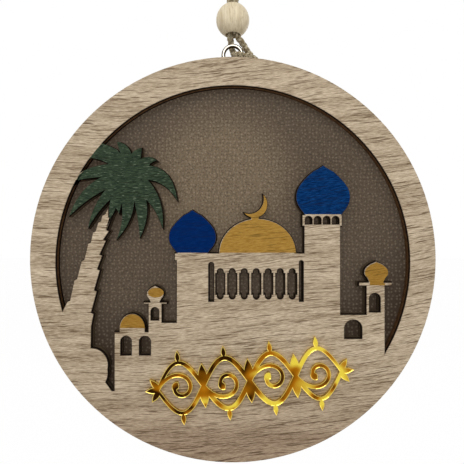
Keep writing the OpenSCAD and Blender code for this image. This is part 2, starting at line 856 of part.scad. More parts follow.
module light_leads() {
    lead_turn = tape_gap_angle / 2 + lead_overlap_angle;
    tape_end = (tape_r - tape_t - lead_d / 2 - glue_gap) * [sin(lead_turn), -cos(lead_turn)];
    tape_start = [-tape_end.x, tape_end.y];
    side_y = back_y - back_t - flange_t - contact_t - running_gap - lead_d / 2 - glue_gap;
    low_y = back_y - well_depth - lead_d / 2 - glue_gap + contact_t + lead_d;
    switch_y = back_y - back_t - switch_body.z - lead_d / 2 - glue_gap;
    tail_x = case_r + tail_l - lead_d;
    color("firebrick")
        lead([[tail_x, case_z], [tail_x + lead_run, case_z - lead_run], tape_end], side_y);
    color("black") {
        lead([
            [-tail_x, case_z], [-tail_x - lead_run, case_z + lead_run],
            [-switch_side + lead_run, case_z + lead_run]
        ], low_y);
        lead([[-switch_side, case_z], [-switch_side, case_z - lead_run], tape_start], switch_y);
    }
}

// Bead, twine and knot.
module wooden_bead() {
    bore_r = bead_bore_d / 2;
    mouth_r = bore_r * bead_mouth_share;
    mouth_t = bead_d * bead_mouth_depth_share;
    flat = sqrt(bead_d * bead_d / 4 - mouth_r * mouth_r);
    color("wheat")
        translate([0, 0, bead_rest_z])
            difference() {
                intersection() {
                    sphere(d = bead_d);
                    translate([0, 0, -flat]) cylinder(d = bead_d + overrun, h = 2 * flat);
                }
                translate([0, 0, -bead_d / 2]) cylinder(r = bore_r, h = bead_d);
                for (side = [0, 1])
                    mirror([0, 0, side])
                        translate([0, 0, flat - mouth_t]) cylinder(r1 = bore_r, r2 = mouth_r, h = mouth_t + glue_gap);
            }
}

function along(points, i) = unit(points[min(i + 1, len(points) - 1)] - points[max(i - 1, 0)]);
function square_to(v, t) = unit(v - (v * t) * t);

// Each ring's side direction is the last one's, turned square to the new run, so the tube never twists.
function ring_sides(points) = [
    for (
        i = 0, side = square_to([0, 1, 0], along(points, 0));
        i < len(points);
        i = i + 1, side = square_to(side, along(points, min(i, len(points) - 1)))
    ) side
];

// A curve through the route, with one more point between each two of its own.
function eased(points) =
    let (last = len(points) - 1)
        [
            for (i = [0:last])
                each i == last ? [points[i]] : [
                    points[i],
                    (9 * (points[i] + points[i + 1]) - points[max(i - 1, 0)] - points[min(i + 2, last)]) / 16
                ]
        ];

module tube(points, d, sides) {
    across = ring_sides(points);
    rings = [
        for (i = [0:len(points) - 1])
            let (t = along(points, i), u = across[i], v = cross(t, u))
                for (k = [0:sides - 1]) points[i] + d / 2 * (cos(360 * k / sides) * u + sin(360 * k / sides) * v)
    ];
    last = (len(points) - 1) * sides;
    walls = [
        for (i = [0:len(points) - 2])
            for (k = [0:sides - 1])
                let (a = i * sides + k, b = i * sides + (k + 1) % sides)
                    each [[a, a + sides, b], [b, a + sides, b + sides]]
    ];
    start_cap = [for (k = [1:sides - 2]) [0, k, k + 1]];
    end_cap = [for (k = [1:sides - 2]) [last, last + k + 1, last + k]];
    polyhedron(rings, concat(walls, start_cap, end_cap));
}

module hanging_cord() {
    color("peru") tube(eased(cord_route), cord_d, cord_sides);
}

module cord_knot() {
    r = cord_d / 2;
    color("peru")
        translate([0, 0, knot_z]) {
            sphere(r = knot_core_share * cord_d);
            for (side = [-1, 1])
                translate([0, 0, side * knot_rise_share * cord_d])
                    rotate([0, side * knot_lean, 0])
                        rotate_extrude() translate([knot_turn_share * cord_d, 0]) circle(r = knot_wrap_share * cord_d);
            for (side = [-1, 1])
                translate([side * r * knot_wrap_share, 0, 0])
                    rotate([0, side * tail_spread, 0]) cylinder(r = r, h = tail_knot_share * cord_d);
        }
}

hanging_cord();
cord_knot();
wooden_bead();
screw_eye();
front_panel();
gold_scroll();
diffuser_sheet();
side_ring();
back_panel();
back_screws();
light_tape();
light_chips();
tape_resistors();
battery_case();
case_screws();
coin_cells();
lower_contact();
side_contact();
battery_cover();
switch_body();
switch_slider();
light_leads();
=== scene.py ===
import math
import random

import bmesh
import bpy
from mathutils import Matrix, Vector


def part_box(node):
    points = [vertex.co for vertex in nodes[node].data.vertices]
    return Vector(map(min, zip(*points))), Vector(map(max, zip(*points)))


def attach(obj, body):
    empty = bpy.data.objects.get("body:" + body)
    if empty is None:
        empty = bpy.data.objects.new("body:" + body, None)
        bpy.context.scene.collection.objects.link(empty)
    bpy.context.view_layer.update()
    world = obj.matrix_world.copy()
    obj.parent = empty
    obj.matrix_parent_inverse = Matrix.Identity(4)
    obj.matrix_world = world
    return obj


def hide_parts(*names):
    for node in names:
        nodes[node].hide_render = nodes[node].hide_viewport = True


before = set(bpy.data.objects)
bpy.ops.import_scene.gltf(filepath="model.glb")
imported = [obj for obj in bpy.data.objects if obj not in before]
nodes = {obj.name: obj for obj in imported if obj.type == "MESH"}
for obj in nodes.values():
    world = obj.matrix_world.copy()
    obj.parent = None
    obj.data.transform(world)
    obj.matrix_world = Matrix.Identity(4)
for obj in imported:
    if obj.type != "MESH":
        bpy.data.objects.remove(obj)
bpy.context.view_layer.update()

# A round lit wooden ornament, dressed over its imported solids. Lengths are in metres.
# +Z is up and the pierced front faces -Y. Sizes written in millimetres are turned by mm.
mm = 0.001
print("frame loaded:", len(nodes), "nodes")


def newObject(name, data):
    made = bpy.data.objects.new(name, data)
    bpy.context.scene.collection.objects.link(made)
    return made


# the camera, level with a point a little above the disc's centre
view = {"place": (-0.0003, -0.1675, -0.1488), "lens": 33.36, "sensor": 36, "nearest": 0.005}


def addCamera():
    data = bpy.data.cameras.new("camera")
    data.lens = view["lens"]
    data.sensor_width = view["sensor"]
    data.clip_start = view["nearest"]
    camera = newObject("camera", data)
    camera.location = view["place"]
    camera.rotation_euler = (math.radians(90), 0, 0)
    bpy.context.scene.camera = camera


addCamera()


# small tools for colours, shader nodes and pieces
def hexColour(code):
    # a colour picker's sRGB hex, as the linear colour that a shader wants
    parts = [int(code[i:i + 2], 16) / 255 for i in (1, 3, 5)]
    return tuple(c / 12.92 if c <= 0.04045 else ((c + 0.055) / 1.055) ** 2.4 for c in parts) + (1,)


def setSockets(tree, node, links):
    # A link's value is a socket, a number, a vector or a colour's hex. Sockets go by name, or by number where
    # a name repeats: a Map Range has its value at 0, from at 1 and 2, and to at 3 and 4, with 0 and 1 as
    # defaults, and a colour Mix has its factor at 0, its colours at 6 and 7, and its output at 2.
    for socket, value in links.items():
        if isinstance(value, bpy.types.NodeSocket):
            tree.links.new(value, node.inputs[socket])
        elif isinstance(value, str):
            node.inputs[socket].default_value = hexColour(value)
        else:
            node.inputs[socket].default_value = value


def addNode(tree, kind, links=None, **settings):
    node = tree.nodes.new("ShaderNode" + kind)
    for name, value in settings.items():
        setattr(node, name, value)
    setSockets(tree, node, links or {})
    return node


def newMaterial(name, links):
    material = bpy.data.materials.new(name)
    material.use_nodes = True
    shader = material.node_tree.nodes["Principled BSDF"]
    setSockets(material.node_tree, shader, links)
    return material, material.node_tree, shader


def pieceFrom(name, source, material, body):
    # source is a bmesh or a finished mesh
    if isinstance(source, bmesh.types.BMesh):
        mesh = bpy.data.meshes.new(name)
        source.to_mesh(mesh)
        source.free()
    else:
        mesh = source
        mesh.name = name
    mesh.materials.append(material)
    piece = newObject(name, mesh)
    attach(piece, body)
    return piece


# the twine: a loop that passes the bead twice and turns round the eye, and its knot
twine = {
    "route": [  # the same points as the solid's, in millimetres
        (-1.1, 0, 2.5), (-1.3, 0, -0.5), (-3.1, 0, -6), (-5.4, 0, -13), (-6.5, 0, -21), (-5.9, 0, -28),
        (-3.9, 0, -35.5), (-1.8, 0, -43), (-1.15, 0, -51), (-1.15, 0, -65), (-1.2, 0, -69),
        (-1.1, 0.5, -71.3), (-0.9, 1.5, -73.3), (-0.5, 2.6, -75.3), (0, 3, -77.1), (0.5, 2.2, -78.8),
        (0.9, 0.2, -79.8), (1.5, -1.8, -80.4), (2.8, -3.5, -81.3), (4.8, -4.3, -82.1), (7, -3.6, -82.5),
        (8.5, -1.6, -82.3), (8.7, 0.8, -81.4), (7.7, 2.4, -79.8), (6.2, 2.7, -77.9), (4.8, 2, -76),
        (3.4, 1.1, -74.3), (2.1, 0.4, -72.9), (1.4, 0.1, -71.3), (1.2, 0, -69), (1.15, 0, -66),
        (1.15, 0, -51), (1.8, 0, -43), (3.9, 0, -35.5), (5.9, 0, -28), (6.5, 0, -21), (5.4, 0, -13),
        (3.1, 0, -6), (1.3, 0, -0.5), (1.1, 0, 2.5)
    ],
    "diameter": 2 * mm, "step": 0.5 * mm,
    "plies": 3, "plyOffset": 0.62 * mm, "plyPitch": 6.2 * mm,
    "yarns": 6, "yarnOffset": 0.46 * mm, "yarnPitch": 4.4 * mm, "yarnRadius": 0.27 * mm,
    "yarnThick": (0.82, 1.12),
    "fray": 3.2 * mm, "fraySpread": 1.7, "frayThins": 0.5,
    # a fibre's foot is a share of the diameter, and bareEnd counts the points at a line's end without any
    "fibreEvery": 0.3 * mm, "fibreLength": (0.7 * mm, 2.2 * mm), "fibreRadius": 0.035 * mm,
    "fibreFoot": 0.36, "fibreLean": (0.15, 0.5), "fibreTwirl": 0.5,
    "fibreTaper": (1, 1, 0.95, 0.85, 0.7, 0.4), "bareEnd": 8
}


def easedRoute(points):
    # one more point between each two, as the solid's route has
    last = len(points) - 1
    out = []
    for i, p in enumerate(points):
        out.append(p)
        if i < last:
            out.append((9 * (p + points[i + 1]) - points[max(i - 1, 0)] - points[min(i + 2, last)]) / 16)
    return out


def spacedRoute(points, step):
    out = [points[0]]
    left = step
    for a, b in zip(points, points[1:]):
        run = (b - a).length
        while run >= left:
            a = a + (b - a) * (left / run)
            out.append(a)
            run = (b - a).length
            left = step
        left -= run
    return out


def frameAlong(points):
    # each point's two directions square to the run, carried along without twisting
    last = len(points) - 1
    side = Vector((0, 1, 0))
    out = []
    for i in range(last + 1):
        run = (points[min(i + 1, last)] - points[max(i - 1, 0)]).normalized()
        side = (side - run * side.dot(run)).normalized()
        out.append((side, run.cross(side)))
    return out


def windRound(points, offset, pitch, start, step, spread):
    # a strand that winds round the line of points
    out = []
    for i, (p, (u, v)) in enumerate(zip(points, frameAlong(points))):
        turn = start + 2 * math.pi * i * step / pitch
        out.append(p + offset * spread[i] * (math.cos(turn) * u + math.sin(turn) * v))
    return out


def addSpline(curve, points, radii):
    spline = curve.splines.new("POLY")
    spline.points.add(len(points) - 1)
    for place, p, r in zip(spline.points, points, radii):
        place.co = (*p, 1)
        place.radius = r


def frayAlong(count, look):
    # how much wider the strands stand at each point, growing towards the frayed end
    frayPoints = look["fray"] / look["step"]
    return [1 + look["fraySpread"] * max(0, 1 - (count - 1 - i) / frayPoints) ** 2 for i in range(count)]


def addYarns(curve, points, spread, look, rng):
    step = look["step"]
    yarnRadii = [1 - look["frayThins"] * (s - 1) / look["fraySpread"] for s in spread]
    for ply in range(look["plies"]):
        start = 2 * math.pi * ply / look["plies"]
        plyLine = windRound(points, look["plyOffset"], look["plyPitch"], start, step, spread)
        for yarn in range(look["yarns"]):
            turn = 2 * math.pi * yarn / look["yarns"]
            yarnLine = windRound(plyLine, look["yarnOffset"], -look["yarnPitch"], turn, step, spread)
            thick = rng.uniform(*look["yarnThick"])
            addSpline(curve, yarnLine, [thick * r for r in yarnRadii])


def addFibres(curve, points, look, rng):
    # stray fibres start inside the twine, lean out of it and taper
    around = frameAlong(points)
    last = len(look["fibreTaper"]) - 1
    radii = [look["fibreRadius"] / look["yarnRadius"] * r for r in look["fibreTaper"]]
    for _ in range(int(len(points) * look["step"] / look["fibreEvery"])):
        i = rng.randrange(1, len(points) - look["bareEnd"])
        u, v = around[i]
        turn = rng.uniform(0, 2 * math.pi)
        out = math.cos(turn) * u + math.sin(turn) * v
        run = (points[i + 1] - points[i]).normalized() * rng.choice((-1, 1))
        long = rng.uniform(*look["fibreLength"])
        lean = rng.uniform(*look["fibreLean"])
        twirl = out.cross(run) * rng.uniform(-look["fibreTwirl"], look["fibreTwirl"])
        hair = []
        for n in range(last + 1):
            t = n / last
            rise = look["diameter"] * look["fibreFoot"] + long * lean * t * t
            hair.append(points[i] + out * rise + run * long * t + twirl * long * t * t)
        addSpline(curve, hair, radii)


def twistedCord(name, lines, look, frayed, seed):
    # three plies of six yarns each wind along every line, with stray fibres on them
    rng = random.Random(seed)
    curve = bpy.data.curves.new(name, "CURVE")
    curve.dimensions = "3D"
    curve.bevel_depth = look["yarnRadius"]
    curve.bevel_resolution = 1
    curve.use_fill_caps = True
    for line in lines:
        points = spacedRoute(line, look["step"])
        spread = frayAlong(len(points), look) if frayed else [1] * len(points)
        addYarns(curve, points, spread, look, rng)
        addFibres(curve, points, look, rng)
    holder = newObject(name + "Curve", curve)
    bpy.context.view_layer.update()
    mesh = bpy.data.meshes.new_from_object(holder.evaluated_get(bpy.context.evaluated_depsgraph_get()))
    bpy.data.objects.remove(holder)
    return mesh


# in every look, a key with Part says where a change begins and ends, and one with Depth how strong it gets
jute = {
    "yarn": "#97886a", "pale": "#d8ccb0", "hollow": "#5f4f39", "aged": "#a0916f",
    "patch": 0.85 * mm, "palePart": (0.38, 0.62),
    "fleck": 0.45 * mm, "hollowPart": (0.42, 0.66), "hollowDepth": 0.75,
    "blotch": 6 * mm, "agedPart": (0.4, 0.7), "agedDepth": 0.3
}


def juteTwine():
    # three-ply jute, wet-spun and unwaxed: dull grey-brown yarns with darker hollows and no shine
    material, tree, shader = newMaterial("juteTwine", {"Roughness": 0.92, "Specular IOR Level": 0.1})
    coords = addNode(tree, "TexCoord").outputs["Object"]
    fleck = addNode(tree, "TexNoise", {"Vector": coords, "Scale": 1 / jute["fleck"], "Detail": 3})
    patch = addNode(tree, "TexNoise", {"Vector": coords, "Scale": 1 / jute["patch"], "Detail": 1})
    blotch = addNode(tree, "TexNoise", {"Vector": coords, "Scale": 1 / jute["blotch"], "Detail": 1})
    low, high = jute["palePart"]
    pale = addNode(tree, "MapRange", {0: patch.outputs[0], 1: low, 2: high})
    yarn = addNode(tree, "Mix", {0: pale.outputs[0], 6: jute["yarn"], 7: jute["pale"]}, data_type="RGBA")
    low, high = jute["hollowPart"]
    shade = addNode(tree, "MapRange", {0: fleck.outputs[0], 1: low, 2: high, 3: 0, 4: jute["hollowDepth"]})
    dark = addNode(tree, "Mix", {
        0: shade.outputs[0], 6: yarn.outputs[2], 7: jute["hollow"]
    }, data_type="RGBA")
    low, high = jute["agedPart"]
    old = addNode(tree, "MapRange", {0: blotch.outputs[0], 1: low, 2: high, 3: 0, 4: jute["agedDepth"]})
    tone = addNode(tree, "Mix", {
        0: old.outputs[0], 6: dark.outputs[2], 7: jute["aged"]
    }, data_type="RGBA")
    bump = addNode(tree, "Bump", {"Height": fleck.outputs[0], "Strength": 0.4, "Distance": 0.05 * mm})
    setSockets(tree, shader, {"Base Color": tone.outputs[2], "Normal": bump.outputs[0]})
    return material


knot = {
    "start": (-1.1 * mm, 0, 1.6 * mm), "foot": (-1.1 * mm, 0, 0.8 * mm),
    "height": 3.4 * mm, "turns": 2.25, "steps": 40, "radius": 2.25 * mm, "pitch": 1.75 * mm, "lean": 0.36,
    "core": 0.55, "ease": 6, "openEnd": 0.3,  # the turns close in at both ends, less at the last
    "through": ((1.1 * mm, 0, 0.8 * mm), (1 * mm, 0, 1.8 * mm), (0.3 * mm, 0, 3.4 * mm)),
    "tails": ((2.7 * mm, 0.6 * mm, 12.2 * mm), (-2.9 * mm, -0.4 * mm, 12.6 * mm)),
    "bows": ((0, 0, 0.7 * mm), (-0.5 * mm, 0, 0)), "tailSteps": 5
}


def tailFrom(start, number):
    # a tail that bows a little on its way to its tip
    tip = Vector(knot["tails"][number])
    bow = Vector(knot["bows"][number])
    shares = [i / knot["tailSteps"] for i in range(1, knot["tailSteps"] + 1)]
    return [start.lerp(tip, s) + bow * math.sin(math.pi * s) for s in shares]


def knotLines():
    # one strand winds twice round both, then both ends stand up and fray
    wind = [Vector(knot["foot"]), Vector(knot["start"])]
    rise = knot["pitch"] * knot["turns"]
    low = knot["height"] - rise / 2
    for i in range(knot["steps"] + 1):
        t = i / knot["steps"]
        turn = math.pi + 2 * math.pi * knot["turns"] * t
        ease = min(1, t * knot["ease"], (1 - t) * knot["ease"] + knot["openEnd"])
        r = knot["radius"] * (knot["core"] + (1 - knot["core"]) * ease)
        x = r * math.cos(turn)
        wind.append(Vector((x, r * math.sin(turn), low + rise * t + knot["lean"] * x)))
    straight = [Vector(p) for p in knot["through"]]
    return [easedRoute(wind + tailFrom(wind[-1], 0)), easedRoute(straight + tailFrom(straight[-1], 1))]


def makeTwine():
    material = juteTwine()
    route = easedRoute(easedRoute([Vector(p) * mm for p in twine["route"]]))
    wound = twistedCord("twineLoop", [route], twine, frayed=False, seed=3)
    loop = pieceFrom("twineLoop", wound, material, "cord")
    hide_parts("hanging_cord")
    wound = twistedCord("twineKnot", knotLines(), twine, frayed=True, seed=5)
    tied = pieceFrom("twineKnot", wound, material, "cord")
    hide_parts("cord_knot")


makeTwine()


# the wood of both panels. Each pattern has its length, its height and its noise detail.
veneer = {
    "fibre": (2.2 * mm, 0.22 * mm, 3), "pore": (8 * mm, 0.32 * mm, 1.3), "ring": (50 * mm, 2.6 * mm, 3),
    "wave": (60 * mm, 1.6 * mm), "tilt": (0.08, 0.64), "porePart": (0.57, 0.64), "poreDepth": 0.85,
    "light": "#d2c0a6", "dark": "#8d7960", "poreColour": "#604b35",
    # painted shade: the veneer is multiplied darker towards the disc's lower rim, standing in for the shade
    # there
    "paintedLowShade": "#dad1cd", "paintedLowShadeFrom": (-0.196, -0.236),
    # the cuts: black where the beam came in, then smoked, and on the ring's wall three plies
    "charDark": "#150b04", "charSmoked": "#4f4232", "charLight": "#5f4329", "blackDepth": 1.1 * mm,
    "plyBlur": 0.2 * mm, "backPlyFrom": (0, 0.03), "backPly": 0.8,
    "soot": 1.6 * mm, "sootPart": (0.3, 0.6), "sootLeast": 0.45,
    "middle": (0, 0, -0.1601), "ringFrom": (0.0625, 0.0645), "ringFoot": -0.197,
    "rimPart": (0.12, 0.95), "wallPart": (0.9, 0.7)
}


# how both woods lay their patterns apart and turn them into tones
woodGrain = {
    "roughness": 0.66, "apart": (3.1, 1.7, 5.3), "wavePart": (0.25, 0.75), "fibrePart": (0.3, 0.7),
    "ringPart": (0.35, 0.65), "ringDepth": 0.22
}


def grainOf(tree, look, across="z"):
    # long fibres, short dark pores and broad growth rings, all bent by one slow wave
    coords = addNode(tree, "TexCoord").outputs["Object"]
    waveLength, waveHeight = look["wave"]
    slow = addNode(tree, "TexNoise", {"Vector": coords, "Scale": 1 / waveLength, "Detail": 1.5})
    low, high = woodGrain["wavePart"]
    lift = addNode(tree, "MapRange", {0: slow.outputs[0], 1: low, 2: high, 3: -waveHeight, 4: waveHeight})
    if "tilt" in look:  # the grain runs level at the left and climbs to the right
        level, climbing = look["tilt"]
        east = addNode(tree, "SeparateXYZ", {0: coords}).outputs["X"]
        slope = addNode(tree, "Math", {0: east, 1: climbing, 2: level}, operation="MULTIPLY_ADD")
        climb = addNode(tree, "Math", {0: east, 1: slope.outputs[0]}, operation="MULTIPLY")
        lift = addNode(tree, "Math", {0: lift.outputs[0], 1: climb.outputs[0]}, operation="SUBTRACT")
    push = addNode(tree, "CombineXYZ", {"Z" if across == "z" else "X": lift.outputs[0]})
    bent = addNode(tree, "VectorMath", {0: coords, 1: push.outputs[0]}, operation="ADD").outputs[0]
    found = {"coords": coords}
    x, y, z = woodGrain["apart"]
    for number, name in enumerate(("fibre", "pore", "ring")):
        long, thin, detail = look[name]
        # each pattern reads a part of the noise of its own
        place = addNode(tree, "Mapping", {
            "Vector": bent, "Location": (x * number, y, z * number),
            "Scale": (1 / long, 1 / long, 1 / thin) if across == "z" else (1 / thin, 1 / long, 1 / long)
        })
        noise = addNode(tree, "TexNoise", {
            "Vector": place.outputs[0], "Scale": 1, "Detail": detail, "Roughness": woodGrain["roughness"]
        })
        found[name] = noise.outputs[0]
    return found


def woodTone(tree, grain, look):
    low, high = woodGrain["fibrePart"]
    fibre = addNode(tree, "MapRange", {0: grain["fibre"], 1: low, 2: high})
    low, high = woodGrain["ringPart"]
    depth = woodGrain["ringDepth"]
    ring = addNode(tree, "MapRange", {0: grain["ring"], 1: low, 2: high, 3: -depth, 4: depth})
    both = addNode(tree, "Math", {0: fibre.outputs[0], 1: ring.outputs[0]}, operation="ADD", use_clamp=True)
    body = addNode(tree, "Mix", {0: both.outputs[0], 6: look["light"], 7: look["dark"]}, data_type="RGBA")
    low, high = look["porePart"]
    pore = addNode(tree, "MapRange", {0: grain["pore"], 1: low, 2: high, 3: 0, 4: look["poreDepth"]})
    tone = addNode(tree, "Mix", {
        0: pore.outputs[0], 6: body.outputs[2], 7: look["poreColour"]
    }, data_type="RGBA")
    return tone.outputs[2], pore.outputs[0]


def cutWalls(tree, coords, place, nodeName):
    # the ring's wall shows three plies, the middle one less burnt, and the back one too towards the right
    front, back = (corner.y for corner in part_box(nodeName))
    third = (back - front) / 3
    blur = veneer["plyBlur"]
    into = addNode(tree, "MapRange", {0: place.outputs["Y"], 1: front + third - blur, 2: front + third})
    left, right = veneer["backPlyFrom"]
    kept = addNode(tree, "MapRange", {0: place.outputs["X"], 1: left, 2: right, 3: 0, 4: veneer["backPly"]})
    outOf = addNode(tree, "MapRange", {
        0: place.outputs["Y"], 1: back - third, 2: back - third + blur, 3: 1, 4: kept.outputs[0]
    })
    core = addNode(tree, "Math", {0: into.outputs[0], 1: outOf.outputs[0]}, operation="MULTIPLY")
    soot = addNode(tree, "TexNoise", {"Vector": coords, "Scale": 1 / veneer["soot"], "Detail": 3})
    low, high = veneer["sootPart"]
    thin = addNode(tree, "MapRange", {0: soot.outputs[0], 1: low, 2: high, 3: veneer["sootLeast"], 4: 1})
    patchy = addNode(tree, "Math", {0: core.outputs[0], 1: thin.outputs[0]}, operation="MULTIPLY")
    plies = addNode(tree, "Mix", {
        0: patchy.outputs[0], 6: veneer["charDark"], 7: veneer["charLight"]
    }, data_type="RGBA")
    # inside the ring the cuts are black only where the beam came in
    black = front + veneer["blackDepth"]
    under = addNode(tree, "MapRange", {0: place.outputs["Y"], 1: black, 2: black + blur})
    cuts = addNode(tree, "Mix", {
        0: under.outputs[0], 6: veneer["charDark"], 7: veneer["charSmoked"]
    }, data_type="RGBA")
    reach = addNode(tree, "VectorMath", {0: coords, 1: veneer["middle"]}, operation="DISTANCE")
    near, far = veneer["ringFrom"]
    ring = addNode(tree, "MapRange", {0: reach.outputs["Value"], 1: near, 2: far})
    high = addNode(tree, "Math", {0: place.outputs["Z"], 1: veneer["ringFoot"]}, operation="GREATER_THAN")
    onRing = addNode(tree, "Math", {0: ring.outputs[0], 1: high.outputs[0]}, operation="MULTIPLY")
    return addNode(tree, "Mix", {
        0: onRing.outputs[0], 6: cuts.outputs[2], 7: plies.outputs[2]
    }, data_type="RGBA").outputs[2]


def burntPart(tree):
    # burnt are the walls that the laser cut, and the front's rim along them where a mesh marks it
    marked = addNode(tree, "Attribute", attribute_name="char").outputs["Fac"]
    low, high = veneer["rimPart"]
    rim = addNode(tree, "MapRange", {0: marked, 1: low, 2: high})
    facing = addNode(tree, "SeparateXYZ", {0: addNode(tree, "NewGeometry").outputs["True Normal"]})
    flat = addNode(tree, "Math", {0: facing.outputs["Y"]}, operation="ABSOLUTE")
    low, high = veneer["wallPart"]
    wall = addNode(tree, "MapRange", {0: flat.outputs[0], 1: low, 2: high})
    return addNode(tree, "Math", {0: rim.outputs[0], 1: wall.outputs[0]}, operation="MAXIMUM").outputs[0]


def oakVeneer(name, nodeName):
    # sanded bare oak-look veneer on three plies, cut by laser: dull, with long dark pores and burnt cuts
    material, tree, shader = newMaterial(name, {"Roughness": 0.75, "Specular IOR Level": 0.1})
    grain = grainOf(tree, veneer)
    tone, pore = woodTone(tree, grain, veneer)
    place = addNode(tree, "SeparateXYZ", {0: grain["coords"]})
    # painted shade: darker towards the lower rim, where the light falls off
    top, bottom = veneer["paintedLowShadeFrom"]
    low = addNode(tree, "MapRange", {
        0: place.outputs["Z"], 1: top, 2: bottom
    }, interpolation_type="SMOOTHSTEP")
    lowShaded = addNode(tree, "Mix", {
        0: low.outputs[0], 6: tone, 7: veneer["paintedLowShade"]
    }, data_type="RGBA", blend_type="MULTIPLY")
    shown = addNode(tree, "Mix", {
        0: burntPart(tree), 6: lowShaded.outputs[2], 7: cutWalls(tree, grain["coords"], place, nodeName)
    }, data_type="RGBA")
    bump = addNode(tree, "Bump", {"Height": pore, "Strength": 0.35, "Distance": 0.06 * mm}, invert=True)
    setSockets(tree, shader, {"Base Color": shown.outputs[2], "Normal": bump.outputs[0]})
    return material


ink = {
    "deepPart": (0.42, 0.66), "porePart": (0.58, 0.66), "poreDepth": 0.5, "poreColour": "#1c150e",
    "scratch": (2.2 * mm, 2.2 * mm, 0.3 * mm), "scratchPart": (0.62, 0.7), "scratchDepth": 0.8,
    "hallBlue": ("#022052", "#0a2e64", 0.7), "minaretBlue": ("#03214a", "#14467f", 0.85),
    # painted shade: the second ochre is the first ink darkened for the lower domes, standing in for the light
    # falling off towards the bottom
    "ochre": ("#ab8540", "#8a6323", 0.9), "shadedOchre": ("#a07a37", "#7f5a1e", 0.9),
    "green": ("#232f24", "#4b5a45", 0.8), "greenBare": "#7f8a74"
}


def printedInk(name, deep, pale, strength, bare=None):
    # water-based ink rolled on the bare veneer: a thin flat film with the fibres and pores showing through
    material, tree, shader = newMaterial(name, {"Roughness": 0.7, "Specular IOR Level": 0.01})
    grain = grainOf(tree, veneer)
    low, high = ink["deepPart"]
    fibre = addNode(tree, "MapRange", {0: grain["fibre"], 1: low, 2: high, 3: 0, 4: strength})
    shown = addNode(tree, "Mix", {0: fibre.outputs[0], 6: deep, 7: pale}, data_type="RGBA")
    if bare:  # short scratches where the ink missed the wood
        place = addNode(tree, "Mapping", {
            "Vector": grain["coords"], "Scale": [1 / size for size in ink["scratch"]]
        })
        noise = addNode(tree, "TexNoise", {"Vector": place.outputs[0], "Scale": 1, "Detail": 2})
        low, high = ink["scratchPart"]
        missed = addNode(tree, "MapRange", {
            0: noise.outputs[0], 1: low, 2: high, 3: 0, 4: ink["scratchDepth"]
        })
        shown = addNode(tree, "Mix", {
            0: missed.outputs[0], 6: shown.outputs[2], 7: bare
        }, data_type="RGBA")
    low, high = ink["porePart"]
    pore = addNode(tree, "MapRange", {
        0: grain["pore"], 1: low, 2: high, 3: 0, 4: ink["poreDepth"] * strength
    })
    shown = addNode(tree, "Mix", {
        0: pore.outputs[0], 6: shown.outputs[2], 7: ink["poreColour"]
    }, data_type="RGBA")
    bump = addNode(tree, "Bump", {"Height": grain["fibre"], "Strength": 0.25, "Distance": 0.05 * mm})
    setSockets(tree, shader, {"Base Color": shown.outputs[2], "Normal": bump.outputs[0]})
    return material


def mergedCopy(nodeName):
    bm = bmesh.new()
    bm.from_mesh(nodes[nodeName].data)
    bmesh.ops.remove_doubles(bm, verts=bm.verts, dist=1e-6)
    return bm


def frontFaces(bm):
    bm.normal_update()
    return [f for f in bm.faces if f.normal.y < -0.9]


def rimmedFront(bm, width, sink, attribute):
    # the front gets a narrow rim of its own along every cut edge, marked for the material
    inner = frontFaces(bm)
    bmesh.ops.inset_region(bm, faces=inner, thickness=width, use_even_offset=True, use_boundary=True)
    mark = bm.verts.layers.float.new(attribute)
    inside = {v for f in inner for v in f.verts}
    for v in bm.verts:
        v[mark] = 0 if v in inside else 1
    bmesh.ops.translate(bm, verts=list(inside), vec=(0, sink, 0))
    return bm


panel = {
    "charWidth": 0.34 * mm, "disc": (0, -0.159), "opening": (0, -0.1601), "openingRadius": 65.5 * mm,
    "paleFrom": 73 * mm, "frontY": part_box("front_panel")[0].y,
    "taper": 0.28 * mm, "taperWithin": 64 * mm, "leastLean": 0.5, "tolerance": 0.01 * mm
}


# how much wider an onion dome is drawn than its solid, at shares of its height
blueFlank = [
    (0, 1), (0.12, 1.055), (0.22, 1.06), (0.33, 1.03), (0.45, 1),
    (0.65, 1), (0.72, 1.04), (0.8, 1.13), (0.9, 1.4), (1, 1)
]
goldFlank = [
    (0, 0.92), (0.11, 0.87), (0.22, 0.84), (0.32, 0.94), (0.42, 0.99),
    (0.54, 1.03), (0.7, 1.2), (0.81, 1.4), (0.92, 1.9), (1, 1)
]
domeEnds = (0.004, 0.999)  # the part of its height in which a dome is redrawn
# each dome's middle, foot, half width and height, in shares of the opening's radius
domes = [
    (-0.228, 0.053, 0.14, 0.244, blueFlank), (0.51, 0.269, 0.16, 0.28, blueFlank),
    (-0.439, -0.224, 0.052, 0.094, goldFlank), (0.809, -0.112, 0.075, 0.119, goldFlank)
]
crescent = {"from": (0, 0.26, 0.264, 0.5), "foot": (0.124, 0.262), "grow": (1.055, 1.09)}


def widthAt(flank, t):
    for (t0, k0), (t1, k1) in zip(flank, flank[1:]):
        if t <= t1:
            return k0 + (k1 - k0) * (t - t0) / (t1 - t0)
    return 1


def panelCopy():
    # the panel's mesh with its onion domes drawn rounder and its crescent a little larger
    bm = mergedCopy("front_panel")
    x, z = panel["opening"]
    r = panel["openingRadius"]
    left, right, bottom, top = crescent["from"]
    footX, footZ = crescent["foot"]
    growX, growZ = crescent["grow"]
    for v in bm.verts:
        a, b = (v.co.x - x) / r, (v.co.z - z) / r
        for middle, foot, half, height, flank in domes:
            t = (b - foot) / height
            if abs(a - middle) < half and domeEnds[0] < t < domeEnds[1]:
                v.co.x = x + r * (middle + (a - middle) * widthAt(flank, t))
        if left < a < right and bottom < b < top:
            v.co.x = x + r * (footX + (a - footX) * growX)
            v.co.z = z + r * (footZ + (b - footZ) * growZ)
    return bm


